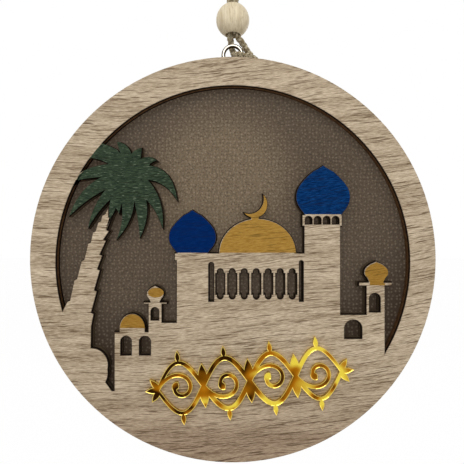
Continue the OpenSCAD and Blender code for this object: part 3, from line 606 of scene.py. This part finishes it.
def taperCuts(bm):
    # a laser's cut narrows on its way in, so each wall shows as a dark line from the front
    deep = panel["frontY"] + veneer["blackDepth"]
    bmesh.ops.bisect_plane(
        bm, geom=bm.verts[:] + bm.edges[:] + bm.faces[:], plane_co=(0, deep, 0), plane_no=(0, 1, 0)
    )
    bm.normal_update()
    x, z = panel["opening"]
    least = panel["leastLean"]
    moves = []
    for v in bm.verts:
        if v.co.y < deep - panel["tolerance"] or math.hypot(v.co.x - x, v.co.z - z) > panel["taperWithin"]:
            continue
        normals = {tuple(round(c, 3) for c in f.normal) for f in v.link_faces}
        walls = [Vector(n) for n in normals if abs(n[1]) < 0.5]
        if walls:
            out = sum(walls, Vector()).normalized()
            moves.append((v, out * panel["taper"] / max(least, min(out.dot(n) for n in walls))))
    for v, move in moves:
        v.co += move


def makePanel():
    bm = rimmedFront(panelCopy(), panel["charWidth"], 0, "char")
    taperCuts(bm)
    mark = bm.verts.layers.float["char"]
    x, z = panel["disc"]
    for v in bm.verts:  # the disc's own edge was sanded, so its front stays pale
        if math.hypot(v.co.x - x, v.co.z - z) > panel["paleFrom"]:
            v[mark] = 0
    piece = pieceFrom("veneerPanel", bm, oakVeneer("laserCutVeneer", "front_panel"), "ornament")
    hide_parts("front_panel")
    print("panel made:", len(piece.data.polygons), "faces")


makePanel()


# Each print is the part of the panel's own front inside a window, in shares of the opening's radius.
# A slip of the print is in millimetres.
prints = {
    "filmThickness": 0.03 * mm, "filmDepth": 1.3,  # the film reaches a little into the wood
    "printHallDome": {"windows": [(-0.366, -0.088, 0.054, 0.32)], "margin": 0.1 * mm, "slip": (0, 0)},
    "printMinaretDome": {"windows": [(0.35, 0.67, 0.271, 0.58)], "margin": 0.1 * mm, "slip": (0, 0)},
    "printMainDome": {"windows": [(-0.0795, 0.37, 0.053, 0.2537)], "margin": 0.24 * mm, "slip": (0.1, -0.06)},
    "printCrescent": {"windows": [(0, 0.25, 0.2491, 0.42)], "margin": 0.05 * mm, "slip": (0.1, -0.06)},
    "printWestDome": {"windows": [(-0.65, -0.49, -0.371, -0.27)], "margin": 0.16 * mm, "slip": (0.12, -0.08)},
    "printTowerDome": {"middle": (-0.4345, -0.17), "half": (0.0445, 0.0275), "margin": 0.01 * mm},
    "printEastDome": {
        "windows": [(0.73, 0.89, -0.111, 0.02), (0.768, 0.86, -0.13, -0.105)], "margin": 0.2 * mm,
        "slip": (0.15, -0.12)
    },
}


def filmFrom(bm, margin, slip):
    # draws the outline in a little, moves it as a slipped print, and gives it the film's thickness
    rim = bmesh.ops.inset_region(
        bm, faces=bm.faces, thickness=margin, use_even_offset=True, use_boundary=True
    )["faces"]
    bmesh.ops.delete(bm, geom=rim, context="FACES")
    lift = panel["frontY"] - prints["filmThickness"]
    for v in bm.verts:
        v.co = (v.co.x + slip[0] * mm, lift, v.co.z + slip[1] * mm)
    grown = bmesh.ops.extrude_face_region(bm, geom=list(bm.faces))["geom"]
    back = [g for g in grown if isinstance(g, bmesh.types.BMVert)]
    bmesh.ops.translate(bm, verts=back, vec=(0, prints["filmThickness"] * prints["filmDepth"], 0))
    bmesh.ops.recalc_face_normals(bm, faces=bm.faces)
    return bm


def windowOfPanel(window):
    left, right, bottom, top = [s * panel["openingRadius"] for s in window]
    x, z = panel["opening"]
    bm = panelCopy()
    wanted = set(frontFaces(bm))
    bmesh.ops.delete(bm, geom=[f for f in bm.faces if f not in wanted], context="FACES")
    for place, out in (
        ((x + left, 0, 0), (-1, 0, 0)), ((x + right, 0, 0), (1, 0, 0)),
        ((0, 0, z + bottom), (0, 0, -1)), ((0, 0, z + top), (0, 0, 1))
    ):
        bmesh.ops.bisect_plane(
            bm, geom=bm.verts[:] + bm.edges[:] + bm.faces[:], plane_co=place, plane_no=out, clear_outer=True
        )
    return bm


def makeDomePrint(name, material):
    spec = prints[name]
    whole = bmesh.new()
    for window in spec["windows"]:
        film = filmFrom(windowOfPanel(window), spec["margin"], spec["slip"])
        mesh = bpy.data.meshes.new("film")
        film.to_mesh(mesh)
        film.free()
        whole.from_mesh(mesh)
        bpy.data.meshes.remove(mesh)
    return pieceFrom(name, whole, material, "ornament")


def makeOvalPrint(name, material):
    # the small tower's dome carries an oval of ink
    spec = prints[name]
    x, z = panel["opening"]
    r = panel["openingRadius"]
    bm = bmesh.new()
    bmesh.ops.create_circle(bm, cap_ends=True, segments=32, radius=1)
    for v in bm.verts:
        across, up = [spec["middle"][i] + spec["half"][i] * v.co[i] for i in (0, 1)]
        v.co = (x + r * across, panel["frontY"], z + r * up)
    return pieceFrom(name, filmFrom(bm, spec["margin"], (0, 0)), material, "ornament")


# The palm's crown, clockwise from the frame: outer bend, tip, inner bend and notch of each leaf, in shares.
crown = {
    "start": (-0.79, 0.69),
    "leaves": [
        ((-0.7, 0.662), (-0.66, 0.64), (-0.645, 0.632), (-0.631, 0.609)),
        ((-0.643, 0.64), (-0.654, 0.682), (-0.59, 0.675), (-0.573, 0.613)),
        ((-0.555, 0.64), (-0.515, 0.648), (-0.515, 0.62), (-0.522, 0.586)),
        ((-0.47, 0.61), (-0.43, 0.577), (-0.46, 0.57), (-0.474, 0.548)),
        ((-0.337, 0.538), (-0.313, 0.349), (-0.373, 0.456), (-0.481, 0.468)),
        ((-0.382, 0.36), (-0.396, 0.193), (-0.43, 0.302), (-0.489, 0.355)),
        ((-0.468, 0.252), (-0.524, 0.141), (-0.534, 0.254), (-0.557, 0.352)),
        ((-0.558, 0.24), (-0.656, 0.129), (-0.61, 0.247), (-0.628, 0.337)),
        ((-0.636, 0.306), (-0.643, 0.276), (-0.65, 0.3), (-0.662, 0.309)),
        ((-0.668, 0.285), (-0.695, 0.245), (-0.705, 0.3), (-0.689, 0.359)),
        ((-0.761, 0.297), (-0.817, 0.196), (-0.796, 0.317), (-0.72, 0.411)),
        ((-0.818, 0.367), (-0.924, 0.263), (-0.868, 0.423), (-0.741, 0.483)),
        ((-0.85, 0.479), (-0.96, 0.44), (-0.84, 0.545), (-0.701, 0.557)),
        ((-0.745, 0.592), (-0.88, 0.6), (-0.84, 0.65), (-0.79, 0.69)),
    ],
    "steps": 6, "margin": 0.1 * mm, "slip": (0, 0)
}


def makeCrownPrint(material):
    here = Vector(crown["start"])
    outline = [here]
    for row in crown["leaves"]:
        outBend, tip, inBend, notch = [Vector(p) for p in row]
        for a, b, c in ((here, outBend, tip), (tip, inBend, notch)):
            for i in range(1, crown["steps"] + 1):
                t = i / crown["steps"]
                outline.append((1 - t) ** 2 * a + 2 * t * (1 - t) * b + t * t * c)
        here = notch
    x, z = panel["opening"]
    r = panel["openingRadius"]
    bm = bmesh.new()
    inside = [p / max(1, p.length) for p in outline[:-1]]  # the ink stops where the leaves meet the frame
    bm.faces.new([bm.verts.new((x + p.x * r, panel["frontY"], z + p.y * r)) for p in inside])
    film = filmFrom(bm, crown["margin"], crown["slip"])
    return pieceFrom("printPalmCrown", film, material, "ornament")


def makePrints():
    makeDomePrint("printHallDome", printedInk("blueInkDeep", *ink["hallBlue"]))
    makeDomePrint("printMinaretDome", printedInk("blueInkWorn", *ink["minaretBlue"]))
    ochre = printedInk("ochreInk", *ink["ochre"])
    makeDomePrint("printMainDome", ochre)
    makeDomePrint("printCrescent", ochre)
    # painted shade: the lower domes get a darker copy of the main dome's ochre ink
    shadedOchre = printedInk("ochreInkShaded", *ink["shadedOchre"])
    makeDomePrint("printWestDome", shadedOchre)
    makeDomePrint("printEastDome", shadedOchre)
    makeOvalPrint("printTowerDome", shadedOchre)
    makeCrownPrint(printedInk("greenInk", *ink["green"], bare=ink["greenBare"]))
    print("prints made")


makePrints()


# the scroll of gold mirror sheet, with its polished bevel
scroll = {
    "rim": 0.3 * mm, "sink": 0.16 * mm, "patch": 9 * mm, "paintedBevelHighlight": "#dcc160", "bevelPart": (0.15, 0.6),
    "shadow": "#2e1804", "amber": "#a8680c", "yellow": "#e8cf46", "amberPart": (0.36, 0.52),
    "yellowPart": (0.52, 0.68), "brightFrom": (-0.03, 0.045), "brighter": (-0.14, 0.16)
}


def goldMirror():
    # back-silvered gold acrylic, laser-polished: a painted pale highlight on its bevel round painted
    # reflections from dark amber to yellow
    material, tree, shader = newMaterial("goldMirrorAcrylic", {"Metallic": 1, "Roughness": 0.14})
    coords = addNode(tree, "TexCoord").outputs["Object"]
    # painted reflection: noise and a rise towards the right lay dark amber to yellow, standing in for the
    # room that the mirror reflects
    patch = addNode(tree, "TexNoise", {
        "Vector": coords, "Scale": 1 / scroll["patch"], "Detail": 1, "Distortion": 0.6
    })
    side = addNode(tree, "SeparateXYZ", {0: coords})
    low, high = scroll["brightFrom"]
    least, most = scroll["brighter"]
    right = addNode(tree, "MapRange", {0: side.outputs["X"], 1: low, 2: high, 3: least, 4: most})
    both = addNode(tree, "Math", {0: patch.outputs[0], 1: right.outputs[0]}, operation="ADD")
    low, high = scroll["amberPart"]
    darkPart = addNode(tree, "MapRange", {0: both.outputs[0], 1: low, 2: high})
    low, high = scroll["yellowPart"]
    brightPart = addNode(tree, "MapRange", {0: both.outputs[0], 1: low, 2: high})
    amber = addNode(tree, "Mix", {
        0: darkPart.outputs[0], 6: scroll["shadow"], 7: scroll["amber"]
    }, data_type="RGBA")
    yellow = addNode(tree, "Mix", {
        0: brightPart.outputs[0], 6: amber.outputs[2], 7: scroll["yellow"]
    }, data_type="RGBA")
    # painted highlight: the bevel's rim, marked by the mesh, is pale yellow
    rim = addNode(tree, "Attribute", attribute_name="rim").outputs["Fac"]
    low, high = scroll["bevelPart"]
    edge = addNode(tree, "MapRange", {0: rim, 1: low, 2: high})
    shown = addNode(tree, "Mix", {
        0: edge.outputs[0], 6: yellow.outputs[2], 7: scroll["paintedBevelHighlight"]
    }, data_type="RGBA")
    setSockets(tree, shader, {"Base Color": shown.outputs[2]})
    return material


def makeScroll():
    bm = rimmedFront(mergedCopy("gold_scroll"), scroll["rim"], scroll["sink"], "rim")
    piece = pieceFrom("mirrorScroll", bm, goldMirror(), "ornament")
    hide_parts("gold_scroll")
    print("scroll made:", len(piece.data.polygons), "faces")


makeScroll()


# finishes of the carried-over solids
diffuser = {
    "base": "#5a4d40", "paintedHighlight": "#776753", "paintedEdgeShade": "#40342a", "fleck": "#9a8b76", "hole": "#352b22",
    "paintedHighlightAt": (-0.0045, -0.004, -0.13), "paintedHighlightReach": (0.014, 0.036),
    "paintedEdgeShadeFrom": (-0.0121, -0.004, -0.1333), "paintedEdgeShadeStretch": (1, 1, 1.6), "paintedEdgeShadeReach": (0.066, 0.105),
    "dot": 1.5 * mm, "dotPart": (0.05, 0.36), "dotDepth": (0.32, 0.6),
    "haze": 0.42, "holePart": (0.42, 0.7), "holeDepth": 0.6,
    "through": 0.35  # the share of its colour given as a painted glow, which keeps the walls' shadows on it light
}


def smokedAcrylic():
    # smoked acrylic with a sprayed scattering back: brown-grey with fine dots, a painted highlight in its
    # upper middle, painted shade towards its edges and a painted glow
    material, tree, shader = newMaterial("smokedAcrylic", {"Roughness": 0.5, "Specular IOR Level": 0.08})
    coords = addNode(tree, "TexCoord").outputs["Object"]
    # painted highlight: brighter round a point in the upper middle
    near = addNode(tree, "VectorMath", {0: coords, 1: diffuser["paintedHighlightAt"]}, operation="DISTANCE")
    low, high = diffuser["paintedHighlightReach"]
    glow = addNode(tree, "MapRange", {
        0: near.outputs["Value"], 1: low, 2: high, 3: 1, 4: 0
    }, interpolation_type="SMOOTHSTEP")
    lit = addNode(tree, "Mix", {
        0: glow.outputs[0], 6: diffuser["base"], 7: diffuser["paintedHighlight"]
    }, data_type="RGBA")
    # painted shade: darker with distance from a point up and left of the middle, so towards the edges and
    # most towards the bottom
    away = addNode(tree, "VectorMath", {0: coords, 1: diffuser["paintedEdgeShadeFrom"]}, operation="SUBTRACT")
    tall = addNode(tree, "VectorMath", {0: away.outputs[0], 1: diffuser["paintedEdgeShadeStretch"]}, operation="MULTIPLY")
    far = addNode(tree, "VectorMath", {0: tall.outputs[0]}, operation="LENGTH")
    low, high = diffuser["paintedEdgeShadeReach"]
    fade = addNode(tree, "MapRange", {
        0: far.outputs["Value"], 1: low, 2: high
    }, interpolation_type="SMOOTHSTEP")
    body = addNode(tree, "Mix", {
        0: fade.outputs[0], 6: lit.outputs[2], 7: diffuser["paintedEdgeShade"]
    }, data_type="RGBA")
    # the dots lie in the sheet's own plane, and are coarser than real ones so that they show
    flat = addNode(tree, "Mapping", {"Vector": coords, "Rotation": (math.radians(90), 0, 0)})
    dots = addNode(tree, "TexVoronoi", {
        "Vector": flat.outputs[0], "Scale": 1 / diffuser["dot"], "Randomness": 0.55
    }, voronoi_dimensions="2D")
    # the dots grow stronger inside the painted highlight
    least, most = diffuser["dotDepth"]
    strong = addNode(tree, "MapRange", {0: glow.outputs[0], 3: least, 4: most})
    low, high = diffuser["dotPart"]
    dot = addNode(tree, "MapRange", {
        0: dots.outputs["Distance"], 1: low, 2: high, 3: strong.outputs[0], 4: 0
    })
    speck = addNode(tree, "Mix", {
        0: dot.outputs[0], 6: body.outputs[2], 7: diffuser["fleck"]
    }, data_type="RGBA")
    haze = addNode(tree, "TexNoise", {
        "Vector": coords, "Scale": 1 / (diffuser["haze"] * diffuser["dot"]), "Detail": 2
    })
    low, high = diffuser["holePart"]
    gap = addNode(tree, "MapRange", {0: haze.outputs[0], 1: low, 2: high, 3: 0, 4: diffuser["holeDepth"]})
    shown = addNode(tree, "Mix", {
        0: gap.outputs[0], 6: speck.outputs[2], 7: diffuser["hole"]
    }, data_type="RGBA")
    # painted glow: a share of the colour is given as emission, though the sheet is no lamp
    face = addNode(tree, "Mix", {
        0: diffuser["through"], 6: shown.outputs[2], 7: "#000000"
    }, data_type="RGBA")
    setSockets(tree, shader, {
        "Base Color": face.outputs[2], "Emission Color": face.outputs[2],
        "Emission Strength": diffuser["through"] / (1 - diffuser["through"])
    })
    return material


beech = {
    "fibre": (6 * mm, 0.5 * mm, 3.5), "pore": (3 * mm, 0.3 * mm, 3.5), "ring": (20 * mm, 1.8 * mm, 3.5),
    "wave": (12 * mm, 0.5 * mm), "porePart": (0.56, 0.66), "poreDepth": 0.7,
    "light": "#e9dcbd", "dark": "#c9b795", "poreColour": "#a8906c"
}


def turnedBeech():
    # a turned beech bead, sanded and left bare: cream, with fine upright grain and a satin touch
    material, tree, shader = newMaterial("turnedBeech", {"Roughness": 0.5})
    grain = grainOf(tree, beech, across="x")
    tone, _ = woodTone(tree, grain, beech)
    bump = addNode(tree, "Bump", {"Height": grain["fibre"], "Strength": 0.15, "Distance": 0.05 * mm})
    setSockets(tree, shader, {"Base Color": tone, "Normal": bump.outputs[0]})
    return material


plywood = {
    "ply": 1.25 * mm, "pale": "#8a6a48", "paler": "#a98a64", "glue": "#2c1c10", "gluePart": (0.8, 0.92),
    "scorch": "#4a321d", "scorchSize": 5 * mm, "scorchPart": (0.42, 0.66), "scorchDepth": (0.12, 0.75)
}


def laserCutRing():
    # stacked birch plies, cut by laser: brown scorched layers round the ring, dark glue lines between them
    material, tree, shader = newMaterial("laserCutPlywood", {"Roughness": 0.7})
    coords = addNode(tree, "TexCoord").outputs["Object"]
    place = addNode(tree, "SeparateXYZ", {0: coords})
    plies = addNode(tree, "Math", {0: place.outputs["Y"], 1: 1 / plywood["ply"]}, operation="MULTIPLY")
    part = addNode(tree, "Math", {0: plies.outputs[0]}, operation="FRACT")
    low, high = plywood["gluePart"]
    glue = addNode(tree, "MapRange", {0: part.outputs[0], 1: low, 2: high})
    whole = addNode(tree, "Math", {0: plies.outputs[0]}, operation="FLOOR")
    kind = addNode(tree, "TexWhiteNoise", {"W": whole.outputs[0]}, noise_dimensions="1D")
    wood = addNode(tree, "Mix", {
        0: kind.outputs[0], 6: plywood["pale"], 7: plywood["paler"]
    }, data_type="RGBA")
    scorch = addNode(tree, "TexNoise", {"Vector": coords, "Scale": 1 / plywood["scorchSize"], "Detail": 4})
    low, high = plywood["scorchPart"]
    least, most = plywood["scorchDepth"]
    burnt = addNode(tree, "MapRange", {0: scorch.outputs[0], 1: low, 2: high, 3: least, 4: most})
    body = addNode(tree, "Mix", {
        0: burnt.outputs[0], 6: wood.outputs[2], 7: plywood["scorch"]
    }, data_type="RGBA")
    shown = addNode(tree, "Mix", {
        0: glue.outputs[0], 6: body.outputs[2], 7: plywood["glue"]
    }, data_type="RGBA")
    bump = addNode(tree, "Bump", {
        "Height": glue.outputs[0], "Strength": 0.3, "Distance": 0.05 * mm
    }, invert=True)
    setSockets(tree, shader, {"Base Color": shown.outputs[2], "Normal": bump.outputs[0]})
    return material


def platedMetal(name, colour, worn, roughness, streak):
    # plated or bare metal wire and sheet: mirror-like, with fine draw lines and slightly duller patches
    material, tree, shader = newMaterial(name, {"Metallic": 1})
    coords = addNode(tree, "TexCoord").outputs["Object"]
    lines = addNode(tree, "Mapping", {"Vector": coords, "Scale": streak})
    drawn = addNode(tree, "TexNoise", {"Vector": lines.outputs[0], "Scale": 1, "Detail": 3})
    dull = addNode(tree, "MapRange", {
        0: drawn.outputs[0], 1: 0.3, 2: 0.7, 3: roughness * 0.7, 4: roughness * 1.5
    })
    tone = addNode(tree, "Mix", {0: drawn.outputs[0], 6: colour, 7: worn}, data_type="RGBA")
    setSockets(tree, shader, {"Base Color": tone.outputs[2], "Roughness": dull.outputs[0]})
    return material


def mouldedPlastic(name, colour, shade, roughness, grit):
    # injection-moulded ABS with a spark-eroded grain: even colour, slight mottling, soft sheen
    material, tree, shader = newMaterial(name, {"Roughness": roughness})
    coords = addNode(tree, "TexCoord").outputs["Object"]
    grain = addNode(tree, "TexNoise", {"Vector": coords, "Scale": 1 / grit, "Detail": 2})
    cloud = addNode(tree, "TexNoise", {"Vector": coords, "Scale": 1 / (7 * mm), "Detail": 1})
    tone = addNode(tree, "Mix", {0: cloud.outputs[0], 6: colour, 7: shade}, data_type="RGBA")
    bump = addNode(tree, "Bump", {"Height": grain.outputs[0], "Strength": 0.2, "Distance": 0.04 * mm})
    setSockets(tree, shader, {"Base Color": tone.outputs[2], "Normal": bump.outputs[0]})
    return material


sleeve = {"red": "#8c1a16", "dusty": "#a52a22", "black": "#17151a", "dust": 1.5 * mm, "seam": 0.5 * mm}


def sleevedWire():
    # PVC-sleeved leads: red to the right of the middle, black to the left, slightly glossy
    material, tree, shader = newMaterial("pvcSleeve", {"Roughness": 0.38})
    coords = addNode(tree, "TexCoord").outputs["Object"]
    side = addNode(tree, "SeparateXYZ", {0: coords})
    seam = sleeve["seam"]
    red = addNode(tree, "MapRange", {0: side.outputs["X"], 1: -seam, 2: seam})
    dust = addNode(tree, "TexNoise", {"Vector": coords, "Scale": 1 / sleeve["dust"], "Detail": 2})
    redTone = addNode(tree, "Mix", {
        0: dust.outputs[0], 6: sleeve["red"], 7: sleeve["dusty"]
    }, data_type="RGBA")
    shown = addNode(tree, "Mix", {
        0: red.outputs[0], 6: sleeve["black"], 7: redTone.outputs[2]
    }, data_type="RGBA")
    setSockets(tree, shader, {"Base Color": shown.outputs[2]})
    return material


eye = {  # the ring's middle, its wire's middle line, and how far from it the painted highlight turns to painted shade
    "z": -0.08, "radius": 3.65 * mm, "paintedSideShadeFrom": (0.1 * mm, 0.34 * mm), "dull": "#453c2f",
    "paintedHighlight": "#ebe3d3", "worn": "#cfc5b1"
}


def nickelEye():
    # nickel-plated steel wire, with a painted bright reflection along its face and painted grey-brown shade
    # along its edges, streaked at random
    material, tree, shader = newMaterial("nickelWire", {"Metallic": 1, "Roughness": 0.2})
    coords = addNode(tree, "TexCoord").outputs["Object"]
    # painted highlight and shade: bright along the wire's middle line, dark grey-brown along its inner and
    # outer edges seen from the front, standing in for what the wire reflects
    flat = addNode(tree, "VectorMath", {0: coords, 1: (1, 0, 1)}, operation="MULTIPLY")
    reach = addNode(tree, "VectorMath", {0: flat.outputs[0], 1: (0, 0, eye["z"])}, operation="DISTANCE")
    off = addNode(tree, "Math", {0: reach.outputs["Value"], 1: eye["radius"]}, operation="SUBTRACT")
    far = addNode(tree, "Math", {0: off.outputs[0]}, operation="ABSOLUTE")
    low, high = eye["paintedSideShadeFrom"]
    dull = addNode(tree, "MapRange", {0: far.outputs[0], 1: low, 2: high})
    streak = addNode(tree, "TexNoise", {"Vector": coords, "Scale": 1 / (0.7 * mm), "Detail": 3})
    paintedHighlight = addNode(tree, "Mix", {
        0: streak.outputs[0], 6: eye["paintedHighlight"], 7: eye["worn"]
    }, data_type="RGBA")
    tone = addNode(tree, "Mix", {
        0: dull.outputs[0], 6: paintedHighlight.outputs[2], 7: eye["dull"]
    }, data_type="RGBA")
    setSockets(tree, shader, {"Base Color": tone.outputs[2], "Specular Tint": tone.outputs[2]})
    return material


def dressNodes():
    zinc = platedMetal("zincPlatedSteel", "#b9bcbd", "#8d9091", 0.3, (900, 900, 900))
    brass = platedMetal("springBrass", "#cfa75c", "#a9823c", 0.28, (300, 2500, 2500))
    case = mouldedPlastic("ivoryAbs", "#e9e2cf", "#ddd4bd", 0.46, 0.25 * mm)
    finishes = {
        "diffuser_sheet": smokedAcrylic(),
        "wooden_bead": turnedBeech(),
        "screw_eye": nickelEye(),
        "side_ring": laserCutRing(),
        "back_panel": oakVeneer("backVeneer", "back_panel"),
        "back_screws": zinc,
        "case_screws": zinc,
        "battery_case": case,
        "battery_cover": case,
        "coin_cells": platedMetal("nickelCell", "#c9ccce", "#a3a6a8", 0.25, (2500, 300, 300)),
        "lower_contact": brass,
        "side_contact": brass,
        "switch_body": platedMetal("tinnedShell", "#b5b8b6", "#8e918f", 0.32, (300, 300, 2500)),
        "switch_slider": mouldedPlastic("blackNylon", "#141414", "#1f1f20", 0.5, 0.2 * mm),
        "light_tape": mouldedPlastic("whiteFlexBoard", "#ecebe4", "#dcdad0", 0.4, 0.3 * mm),
        "light_chips": mouldedPlastic("phosphorGel", "#f0d77c", "#e2c05a", 0.3, 0.3 * mm),
        "tape_resistors": mouldedPlastic("blackResistor", "#121212", "#232221", 0.35, 0.2 * mm),
        "light_leads": sleevedWire(),
    }
    for name, material in finishes.items():
        for part in nodes[name].material_slots:
            part.material = material
    print("finishes given:", len(finishes))


dressNodes()


# floor, world and lamps
stage = {"floorZ": -0.4, "floorSize": 8, "floorColour": "#f2f2f2", "glowShare": 0.98, "worldLight": 0.55}
lamps = {
    "skyLamp": {"place": (-0.1, -0.5, 0.26), "aim": (0, 0, -0.15), "size": 0.5, "power": 2.1},
    "sideLamp": {"place": (0.6, -0.45, -0.1), "aim": (0, 0, -0.16), "size": 0.5, "power": 0.5},
    "backLamp": {"place": (0.1, 0.7, 0.2), "aim": (0, 0, -0.16), "size": 0.7, "power": 2},
}


def rayShown(tree):
    # one for camera, mirror and glass rays, nought for the light that falls on the object
    path = addNode(tree, "LightPath")
    seen = addNode(tree, "Math", {
        0: path.outputs["Is Camera Ray"], 1: path.outputs["Is Glossy Ray"]
    }, operation="MAXIMUM")
    shown = addNode(tree, "Math", {
        0: seen.outputs[0], 1: path.outputs["Is Transmission Ray"]
    }, operation="MAXIMUM")
    return shown.outputs[0]


def makeWorld():
    world = bpy.data.worlds.new("paleStudio")
    world.use_nodes = True
    tree = world.node_tree
    strength = addNode(tree, "MapRange", {0: rayShown(tree), 3: stage["worldLight"], 4: 1})
    setSockets(tree, tree.nodes["Background"], {"Color": "#ffffff", "Strength": strength.outputs[0]})
    bpy.context.scene.world = world


def makeFloor():
    bm = bmesh.new()
    bmesh.ops.create_grid(bm, x_segments=1, y_segments=1, size=stage["floorSize"] / 2)
    mesh = bpy.data.meshes.new("floor")
    bm.to_mesh(mesh)
    bm.free()
    floor = newObject("floor", mesh)
    floor.location = (0, 0, stage["floorZ"])
    material, tree, shader = newMaterial("whitePaper", {"Roughness": 0.8, "Base Color": stage["floorColour"]})
    glow = addNode(tree, "Emission", {"Color": "#ffffff", "Strength": 1})
    share = addNode(tree, "Math", {0: rayShown(tree), 1: stage["glowShare"]}, operation="MULTIPLY")
    mixed = addNode(tree, "MixShader", {0: share.outputs[0], 1: shader.outputs[0], 2: glow.outputs[0]})
    setSockets(tree, tree.nodes["Material Output"], {"Surface": mixed.outputs[0]})
    mesh.materials.append(material)


def makeLamps():
    for name, spec in lamps.items():
        data = bpy.data.lights.new(name, "AREA")
        data.energy = spec["power"]
        data.size = spec["size"]
        lamp = newObject(name, data)
        lamp.location = spec["place"]
        aim = Vector(spec["aim"]) - Vector(spec["place"])
        lamp.rotation_euler = aim.to_track_quat("-Z", "Y").to_euler()


makeWorld()
makeFloor()
makeLamps()
bpy.context.scene.view_settings.view_transform = "Standard"
print("stage made")
